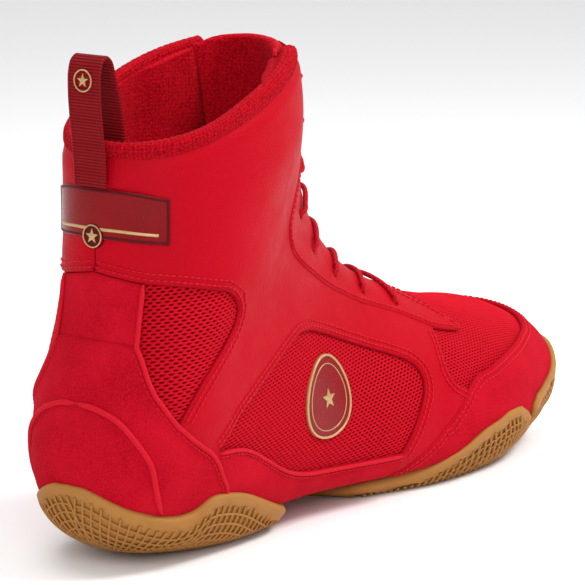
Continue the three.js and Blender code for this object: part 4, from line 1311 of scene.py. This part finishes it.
def ring_parts(centre, across, up, radius, thick, sides=48):
    """A thin round ring, as a closed tube."""
    w, v = turns(sides), turns(8)
    out = np.cross(across, up)
    spoke = np.cos(w)[:, None] * across + np.sin(w)[:, None] * up
    wide, deep = radius + thick * np.cos(v), thick * np.sin(v)
    ring = spoke[:, None] * wide[None, :, None] + out * deep[None, :, None]
    verts = (centre + ring).reshape(-1, 3)
    return verts, flipped(loft(sides, 8, True)), verts[:, [0, 2]]


def tangents(t, a):
    """Outward, sideways and upward directions of the form at a point."""
    out = normal(t, a)
    up = np.array((0, 0, 1.0))
    up = up - out * np.dot(up, out)
    up /= np.linalg.norm(up)
    return out, np.cross(up, out), up


def make_patch():
    film = panel("rear_patch_film", PATCH, FILM, 1.35, 0.2, 1.8, 0.35)
    place(film, "dark_red_trim", "rear_patch")
    outline_strip("rear_patch_edge", PATCH, 0.35, 1.0, 1.55, 0.9, DARK_EDGE)
    low = np.vstack([smooth(PATCH_LOW), medial(smooth(PATCH_LOW))[1:]])
    low = low[(low[:, 1] > 144) & (low[:, 1] < 216)]
    strip("rear_patch_line", low + (0.085, 0), low + (0.115, 0), 1.6, 1.0, GOLD_FOIL)
    t, a = REAR_EMBLEM
    out, across, up = tangents(t, a)
    disc_edge = small_circle(t, a, 4.6, across, up, 40)
    place(panel("rear_emblem_disc", disc_edge, DARK_EDGE, 1.8, 0.4, 1.2, 0.3), "dark_red_trim")
    parts = [
        star_parts(at(t, a, 1.85), across, up, out, 2.9, 0.5),
        ring_parts(at(t, a, 1.5) + out * 0.35, across, up, 4.1, 0.28),
    ]
    place_parts("rear_emblem_star", parts, GOLD_FOIL, "dark_red_trim", flat=True)


def badge_outline(scale):
    t, a = BADGE_CENTRE
    w = turns(60)
    return np.stack([t + scale * (0.4 * np.cos(w) - 0.2 * np.sin(w)), a + scale * 13 * np.sin(w)], -1)


def make_badge():
    field = panel("side_badge_field", badge_outline(0.97), FILM, 0.62, -1.6, 1.6, 0.4)
    place(field, "dark_red_trim", "side_badge")
    outline_strip("side_badge_rim", badge_outline(1.0), 0.0, 0.95, 0.95, -1.5, GOLD_FOIL)
    outline_strip("side_badge_line", badge_outline(0.8), 0.0, 0.4, 0.82, 0.3, GOLD_FOIL)
    t, a = BADGE_CENTRE
    out, across, up = tangents(t, a)
    parts = [star_parts(at(t, a, 0.6), across, up, out, 4.2, 0.7)]
    place_parts("side_badge_star", parts, GOLD_FOIL, "dark_red_trim", flat=True)


# ---------------------------- rubber pods

POD_HIGH = 3.0
BAND = 4.0
TREAD_DEPTH = 1.2
FIELD = 1.4
RIB_RISE = 0.5
RIB_STEP = 0.85
ROW = 3.4
LINK_REACH = 8
UNDER_FOOT = 4.2
BAR_SPACING, BAR_RADIUS = 5.2, 1.2


def under_foot(t, a):
    off = np.abs(180 - a % 360)
    return UNDER_FOOT * (1 - ramp(off, 42, 66)) * ramp(t, 0, 1.2) * (1 - ramp(t, 7.7, 8.4))


def pod_relief(t, a, gap):
    """Full thickness along the edge band, and a thinner field that carries the tread."""
    bevel = 0.35 + 0.65 * soft(gap, 0, 6)
    return under_foot(t, a) * bevel - FIELD * soft(gap, BAND, BAND + 0.6)


def field_height(ta):
    """Height of the tread field over the form."""
    return POD_HIGH - FIELD + under_foot(ta[:, 0], ta[:, 1])


def on_pod(ta):
    """Centres of a rib that stands on the tread field, kept above the ground."""
    points = over(ta, field_height(ta) + RIB_RISE)
    points[:, 2] = np.maximum(points[:, 2], TREAD_DEPTH)
    return points


def march(ta, across, longest):
    """A line down the pod's wall from a start point to the ground, in the plane square to `across`."""
    out = [ta]
    sign = 0.0
    for _ in range(int(longest / RIB_STEP)):
        t, a = out[-1]
        move = np.cross(normal(t, a), across)
        size = np.linalg.norm(move)
        sign = sign or -np.sign(move[2])
        if size < 0.15 or sign * move[2] > -0.05 * size:
            break
        ta = out[-1] + surface_shift(t, a, sign * move / size * RIB_STEP)
        if over(ta[None], field_height(ta[None]))[0, 2] < 0.9:
            break
        out.append(ta)
    return on_pod(np.array(out)) if len(out) > 2 else None


def inset_line(outline, distance, disc):
    """The outline moved inwards over the form, in small steps."""
    turn = turn_of(to_disc(outline) if disc else outline)
    count = max(1, int(math.ceil(distance / 1.2)))
    moved = outline
    for _ in range(count):
        moved = slide(moved, inward(moved, turn) * distance / count)
    return moved


def wall_ribs(outline, spacing, slant, radius, longest, disc):
    """Ribs from the pod's edge band down to the ground, evenly spaced as seen from above."""
    moved = inset_line(outline, BAND, disc)
    run = run_length(on(moved)[:, :2])
    ribs = []
    for ta in along_line(moved, run, np.arange(spacing / 2, run[-1], spacing)):
        out = normal(ta[0], ta[1])
        level = np.cross(out, (0, 0, 1.0))
        size = np.linalg.norm(level)
        if size > 0.2:
            forward = level / size * (1 if out[1] > 0 else -1)
            line = march(ta, forward + np.array((0, 0, slant)), longest)
            if line is not None:
                ribs.append(line)
    grow = [radius * (0.85 + 0.7 * np.linspace(0, 1, len(line)) ** 2) for line in ribs]
    return ribs, [tube_parts(line, width, 6) for line, width in zip(ribs, grow)]


def rib_links(ribs, radius):
    """Cross lines that join neighbouring ribs, in rows down from the edge band."""
    parts = []
    row = int(ROW / RIB_STEP)
    for index in range(row, max(len(line) for line in ribs), row):
        joined = []
        for line in ribs + [None]:
            point = line[index] if line is not None and len(line) > index else None
            if point is not None and (not joined or np.linalg.norm(point - joined[-1]) < LINK_REACH):
                joined.append(point)
                continue
            if len(joined) > 2:
                parts.append(tube_parts(np.array(joined), radius, 6))
            joined = [] if point is None else [point]
    return parts


def ground_bars(pod, lean):
    """Rounded tread bars across the flat ground face of a pod."""
    verts = read(pod.data.vertices, "co") / MM
    flat = verts[verts[:, 2] < TREAD_DEPTH + 0.02][:, :2]
    low, high = flat.min(0), flat.max(0)
    parts = []
    for x0 in np.arange(low[0] - 40, high[0] + 40, BAR_SPACING):
        y = np.arange(low[1], high[1], 1.6)
        bend = np.abs(y - (low[1] + high[1]) / 2)
        line = np.stack([x0 + lean * bend, y], -1)
        gap, _ = nearest(line, flat)
        good = gap < 1.3
        start = None
        for k in range(len(line) + 1):
            grounded = k < len(line) and good[k]
            if grounded and start is None:
                start = k
            elif not grounded and start is not None:
                if k - start > 2:
                    points = np.pad(line[start:k], ((0, 0), (0, 1)), constant_values=BAR_RADIUS)
                    parts.append(tube_parts(points, BAR_RADIUS, 6))
                start = None
    return parts


def make_pods():
    pods = (
        # name, outline, point spacing, from the toe; rib spacing, lean, radius, reach; link radius, bar lean
        ("heel", HEEL_POD_EDGE, 2.2, False, 3.3, -0.25, 0.62, 60, 0.5, 0.35),
        ("forefoot", FOREFOOT_POD_EDGE, 2.4, True, 3.2, 0.5, 0.7, 40, 0.45, 0.5),
    )
    for name, edge, grain, disc, spacing, slant, radius, longest, link, lean in pods:
        pod = panel(
            f"{name}_pod", edge, RUBBER, POD_HIGH, 0.8, grain, 1.0, pod_relief, disc=disc,
            ground=TREAD_DEPTH,
        )
        place(pod, "outsole_gum", f"{name}_outsole_pod")
        ribs, parts = wall_ribs(edge, spacing, slant, radius, longest, disc)
        parts += rib_links(ribs, link) + ground_bars(pod, lean)
        place_parts(f"{name}_pod_tread", parts, RUBBER, "outsole_gum")


# ---------------------------- inside the boot


LINING_HIGH, LINING_THICK = -2.45, 1.0
COLLAR_PAD = 3.15
INSOLE_HIGH, INSOLE_LOW = -2.7, -6.0


def lining_outer(t):
    """The lining lies against the skins, and below the padding in the collar."""
    return LINING_HIGH - COLLAR_PAD * ramp(t, 9.5, 10.5)


def lining_inner(t):
    return lining_outer(t) - LINING_THICK - 0.5 * ramp(t, 11.3, 11.8)


def channels(t, a):
    """Upright padded channels round the back of the ankle."""
    return -0.9 * soft(t, 8.6, 9.6) * (0.5 + 0.5 * np.cos(np.radians((a - 180) * 32)))


def quilting(t, a, gap):
    """A smooth swell in front of the crease at the side of the ankle, and channels behind it."""
    side = 180 - np.abs(180 - a % 360)
    crease = 80 + 30 * (1 - ramp(t, 8.6, 10.2))
    swell = 3.6 * ramp(t, 9.2, 10.6) * soft(crease - side, 0, 15) * soft(side, 40, 50)
    inner = 0.35 * wave(form(t, a), 30, 11) * soft(gap, 1, 8) - 0.35 - swell
    return inner + channels(t, a) * soft(side - crease, 1, 10)


def ribs(t, a, gap):
    return -0.35 + channels(t, a) * soft(gap, 0.3, 2)


def wedge(t):
    """How much lower the insole's bed lies than the lining, thicker towards the heel."""
    return 1.2 + 1.3 * ramp(t, 1, 3) + 3.5 * ramp(t, 3, 6)


LINING_SEAM = [(7.8, 150), (8.3, 150), (8.9, 150), (9.5, 150), (10.3, 150), (11, 150), (12.08, 150)]
LINING_TOP = [(12.08, 150), (12.06, 125), (12.08, 100), (12.12, 60), (12.16, 41)]
ROLL_TOP = [(12.3, 40), (12.28, 60), (12.2, 90), (12.1, 120), (12.12, 150), (12.16, 180)]
ROLL_START, ROLL_DEPTH, ROLL_HALF = 37, 3.45, 3.3


def make_linings():
    quarter = chain(
        [(4.6, 40), (4.6, 90), (4.6, 137)], [(6, 137), (7.2, 137), (7.55, 143), (7.8, 150)], LINING_SEAM,
        LINING_TOP, [(12.16, 41), (8, 40), (4.6, 40)],
    )
    for side, turn in SIDES:
        piece = panel(
            f"quarter_lining_{side}_knit", turn(quarter), LINING, lining_outer, lining_inner, 1.8, 0.4,
            under_relief=quilting,
        )
        place(piece, "red_lining", f"quarter_lining_{side}")
    heel = over_back(
        [(7.85, 180), (7.84, 165), (7.8, 150)], LINING_SEAM, [(12.08, 150), (12.06, 165), (12.06, 180)],
    )
    piece = panel(
        "heel_lining_ribbed", heel, RIB_LINING, lining_outer, lining_inner, 1.5, 0.4, under_relief=ribs,
    )
    place(piece, "red_lining", "heel_lining")
    vamp = over_front(
        [(4.6, 0), (4.6, 45), (4.6, 90), (4.6, 136)], [(4.6, 136), (2, 136), (0.3, 136)],
        [(0.3, 136), (0.3, 60), (0.3, 0)],
    )
    low = LINING_HIGH - LINING_THICK
    piece = panel("vamp_lining_knit", vamp, LINING, LINING_HIGH, low, 3.0, 0.4, under_relief=quilting)
    place(piece, "red_lining", "vamp_lining")
    edge = over_back(
        [(0.7, 180), (0.7, 142)], [(0.7, 142), (4, 135), (7.2, 131)],
        [(7.2, 131), (7.6, 142), (7.76, 162), (7.8, 180)],
    )
    high, low = (lambda t: INSOLE_HIGH - wedge(t)), (lambda t: INSOLE_LOW - wedge(t))
    place(panel("insole_sheet", edge, LINING, high, low, 2.6, 0.6), "red_lining", "insole")


def make_roll():
    """The thick knitted bead along the collar, with a zigzag rib."""
    low, high = smooth(RIM[1:], 1.0), smooth(ROLL_TOP, 1.0)
    a = np.linspace(ROLL_START, 180, 130)
    t_low, t_high = (np.interp(a, line[:, 1], line[:, 0]) for line in (low, high))
    a = np.concatenate([a, 360 - a[-2::-1]])
    t_low = np.concatenate([t_low, t_low[-2::-1]]) - 0.03
    t_high = np.concatenate([t_high, t_high[-2::-1]])
    middle = (t_low + t_high) / 2
    run = run_length(at(middle, a, -ROLL_DEPTH))
    plump = np.sqrt(1 - (1 - ramp(np.minimum(run, run[-1] - run), 0, 1.8)) ** 2 * 0.9)
    w = turns(40)
    rings = []
    for v in w:
        zigzag = 0.22 * np.sin(2 * math.pi * run / 2.6 + 1.2 * np.sin(v * 8))
        reach = (ROLL_HALF + zigzag) * plump
        share = np.sign(np.sin(v)) * abs(np.sin(v)) ** 0.75 * plump
        depth = -ROLL_DEPTH + reach * np.sign(np.cos(v)) * abs(np.cos(v)) ** 0.8
        rings.append(at(middle + (t_high - t_low) / 2 * share * (1 + zigzag / 4), a, depth))
    verts = np.stack(rings, 1).reshape(-1, 3)
    uv = np.stack(np.broadcast_arrays(run[:, None], (w * ROLL_HALF)[None]), -1).reshape(-1, 2)
    roll = add_mesh("collar_roll_knit", verts, flipped(loft(len(a), len(w))), ROLL_KNIT, uv=uv)
    place(roll, "red_lining", "collar_roll")


def read(items, key):
    """A vector property of every item, one row for each."""
    out = np.empty(len(items) * 3)
    items.foreach_get(key, out)
    return out.reshape(-1, 3)


CLOTH = {
    "quality": 5, "mass": 0.2, "tension_stiffness": 25, "compression_stiffness": 25,
    "shear_stiffness": 12, "bending_stiffness": 1.0, "use_pressure": True, "uniform_pressure_force": 3.0,
}
CLOTH_STEPS = 20
VOXEL, PUFF_LIMIT = 1.4, 0.8
TONGUE_TOP, TONGUE_HIGH, TONGUE_LOW = 12.3, -4.6, -9.0


def puff(piece):
    """Inflates a pad by cloth simulation and keeps each point near where it was."""
    scene = bpy.context.scene
    bpy.context.view_layer.objects.active = piece
    piece.select_set(True)
    remesh = piece.modifiers.new("remesh", "REMESH")
    remesh.mode = "VOXEL"
    remesh.voxel_size = VOXEL * MM
    remesh.use_smooth_shade = True
    bpy.ops.object.modifier_apply(modifier=remesh.name)
    start = read(piece.data.vertices, "co")
    cloth = piece.modifiers.new("cloth", "CLOTH")
    for key, value in CLOTH.items():
        setattr(cloth.settings, key, value)
    cloth.settings.effector_weights.gravity = 0
    cloth.point_cache.frame_start = 1
    cloth.point_cache.frame_end = CLOTH_STEPS
    for step in range(1, CLOTH_STEPS + 1):
        scene.frame_set(step)
    solved = piece.evaluated_get(bpy.context.evaluated_depsgraph_get())
    shift = read(solved.data.vertices, "co") - start
    piece.modifiers.remove(cloth)
    size = np.linalg.norm(shift, axis=1, keepdims=True)
    shift *= np.minimum(1, PUFF_LIMIT * MM / np.maximum(size, 1e-9))
    piece.data.vertices.foreach_set("co", (start + shift).ravel())
    piece.data.update()
    scene.frame_set(1)
    finer = piece.modifiers.new("finer", "SUBSURF")
    finer.levels = finer.render_levels = 1
    bpy.ops.object.modifier_apply(modifier=finer.name)
    piece.select_set(False)


def tucked(t, a, gap):
    """The tongue's wings dip under the collar."""
    return -2.7 * ramp(180 - np.abs(180 - a % 360), 33, 38) * ramp(t, 8.6, 9.6)


def tucked_under(t, a, gap):
    return 0.2 * tucked(t, a, gap)


def make_tongue():
    """A padded tongue: leather outside and brushed knit inside."""
    top = TONGUE_TOP
    outline = over_front(
        [(4.8, 0), (4.8, 12), (4.8, 35)], [(4.8, 35), (8.5, 35.5), (9.6, 40), (top - 0.05, 47)],
        [(top - 0.05, 47), (top - 0.01, 38), (top, 24), (top + 0.02, 0)],
    )
    pad = panel(
        "tongue", outline, LEATHER, TONGUE_HIGH, TONGUE_LOW, 2.2, 1.4, tucked, under_relief=tucked_under,
    )
    puff(pad)
    mesh = pad.data
    mesh.materials.append(LINING)
    points, facing = read(mesh.polygons, "center") / MM, read(mesh.polygons, "normal")
    t, a = np.meshgrid(np.linspace(4.6, 12.4, 60), np.linspace(-40, 40, 30), indexing="ij")
    t, a = t.ravel(), a.ravel()
    _, which = nearest(points, at(t, a, (TONGUE_HIGH + TONGUE_LOW) / 2))
    behind = np.sum(facing * normal(t[which], a[which]), 1) < 0.1
    mesh.polygons.foreach_set("material_index", behind.astype(np.int32))
    for layer in list(mesh.uv_layers):
        mesh.uv_layers.remove(layer)
    set_weave(mesh, (read(mesh.vertices, "co") / MM)[:, [1, 2]])
    # Set to 1 everywhere: the tongue gets none of the edge dye and painted edge shade of the other panels.
    if "edge_share" not in mesh.attributes:
        edge_dye_and_shade = mesh.attributes.new("edge_share", "FLOAT", "POINT")
        edge_dye_and_shade.data.foreach_set("value", np.ones(len(mesh.vertices), np.float32))
    place(pad, "red_leather", "tongue_face", "tongue_padding", "tongue_lining")


# ---------------------------- lace and loop

LACE_RADIUS, LACE_OVER, LACE_UNDER = 1.05, 1.8, -2.35
TIP_ANGLE, TIP_DEPTH = 35.5, -2.6


def strand(first_side, centre_height):
    """Half of the lace: from the first eyelet it crosses the throat up to the last one."""
    points = []
    for k, (t, a) in enumerate(EYELETS):
        side = first_side * (1 if k % 2 == 0 else -1)
        before = EYELETS[max(k - 1, 0)]
        step = t - before[0]
        if k > 0:
            points.append(at(before[0], -side * (before[1] - 4.5), LACE_UNDER - 0.1))
            points.append(at(before[0] + step * 0.25, -side * 14.5, LACE_UNDER))
            points.append(at(before[0] + step * 0.5, 0, centre_height))
        points.append(at(before[0] + step * 0.72, side * 13.5, LACE_OVER - 0.1))
        points.append(at(before[0] + step * 0.96, side * (a - 5), LACE_OVER + 0.1))
        points.append(at(t, side * (a - 0.9), 1.6))
        points.append(at(t, side * a, 0))
        points.append(at(t, side * (a + (0.9 if k == len(EYELETS) - 1 else -0.9)), -2.0))
    last = first_side * (-1 if len(EYELETS) % 2 == 0 else 1)
    for t, a in ((11.2, 31), (11.02, 34), (10.75, TIP_ANGLE), (10.45, TIP_ANGLE)):
        points.append(at(t, last * a, TIP_DEPTH))
    return points


def make_lace():
    route = back(strand(1, -1.5)) + [at(EYELETS[0][0], 0, LACE_OVER)] + strand(-1, 1.1)
    route = spline(route, 0.8)
    place_parts("lace_braid", [tube_parts(route, LACE_RADIUS, 14)], LACE, "lace_cord", "lace")
    radius = LACE_RADIUS * np.array([0.7, 1.0] + [1.05] * 9 + [1.0, 0.9, 0.5])
    for name, side in (("lateral", 1), ("medial", -1)):
        high, low = (at(t, side * TIP_ANGLE, TIP_DEPTH) for t in (10.42, 9.75))
        ends = np.linspace(high, low, len(radius))
        tip = tube_parts(ends, radius, 14)
        place_parts(f"lace_tip_{name}_shell", [tip], FILM, "dark_red_trim", f"lace_tip_{name}")


def make_hole_edges():
    """Turned, slightly raised lace hole edges in the leather."""
    parts = []
    for t, a in EYELETS:
        height = OVERLAY_HIGH if t < LOW_HOLES else LEATHER_HIGH
        for side in (1, -1):
            _, across, up = tangents(t, side * a)
            parts.append(ring_parts(at(t, side * a, height - 0.45), across, up, 1.65, 0.32, 20))
    place_parts("lace_hole_edges", parts, LEATHER, "red_leather")


LOOP_LINE = [
    (-31.9, 143.6), (-32.3, 153), (-33.2, 161.6), (-34.2, 170), (-34.8, 179), (-34.4, 186), (-33, 189.6),
    (-30.6, 191), (-28.2, 189.6), (-26.6, 186), (-24.6, 179), (-22.2, 170), (-21, 162), (-20.8, 154),
    (-20.6, 144),
]
LOOP_WIDTH, LOOP_THICK = 15, 1.4
ACROSS = 27


def make_loop():
    """One strip of webbing, sewn in at both ends, with a soft selvedge on each edge."""
    line = spline([(x, -1, z) for x, z in LOOP_LINE], 0.7)
    run = run_length(line)
    tangent = np.gradient(line, axis=0)
    tangent /= np.linalg.norm(tangent, axis=1, keepdims=True)
    out = np.cross(tangent, (0, 1, 0))
    across = np.concatenate([np.linspace(-1, 1, ACROSS), np.linspace(1, -1, ACROSS)])
    face = np.repeat((1.0, -1.0), ACROSS)
    off = np.abs(across) * LOOP_WIDTH / 2
    edge = np.clip(1 - (off - (LOOP_WIDTH / 2 - 0.8)) / 0.8, 0, 1) ** 0.5
    selvedge = 0.12 * (np.abs(off - 6.6) < 0.45)
    half = (LOOP_THICK / 2 - 0.12) * (0.35 + 0.65 * edge) + selvedge
    weft = 0.1 * np.sin(2 * math.pi * run / 1.5)
    verts = (
        line[:, None]
        + np.array((0, 1, 0)) * (across * LOOP_WIDTH / 2)[None, :, None]
        + out[:, None] * (face * half)[None, :, None]
        + out[:, None] * (weft[:, None] * (face * edge * (np.abs(across) < 0.8))[None, :])[..., None]
    )
    uv = np.stack(np.broadcast_arrays(run[:, None], (across * 0.5)[None]), -1).reshape(-1, 2)
    faces = loft(len(line), len(across))
    piece = add_mesh("pull_loop_webbing", verts.reshape(-1, 3), faces, WEBBING, uv=uv)
    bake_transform(piece)
    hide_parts("pull_loop", "pull_loop_outer_leg", "pull_loop_inner_leg")
    k = int(np.argmin(np.abs(line[:, 2] - 183) + 100 * (line[:, 0] > -31)))
    side = out[k] if out[k][0] < 0 else -out[k]
    up = np.cross(side, (0, 1, 0))
    up = up if up[2] > 0 else -up
    centre = line[k] + side * (LOOP_THICK / 2 + 0.1)
    sideways = np.array((0, 1.0, 0))
    parts = [
        star_parts(centre, sideways, up, side, 2.6, 0.45), ring_parts(centre, sideways, up, 3.9, 0.3),
    ]
    place_parts("pull_loop_star", parts, GOLD_FOIL, "dark_red_trim", flat=True, body=LOOP_BODY)


# ---------------------------- assembly

CARRIED = {
    "lasting_board": BOARD, "heel_counter": BOARD, "toe_puff": BOARD,
    "midsole_wedge": FOAM, "collar_padding": FOAM,
}
for node, material in CARRIED.items():
    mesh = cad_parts[node].data
    mesh.materials.clear()
    mesh.materials.append(material)

make_leather()
make_suede()
make_windows()
make_stitching()
make_patch()
make_badge()
make_pods()
make_linings()
make_roll()
make_tongue()
make_lace()
make_hole_edges()
make_loop()
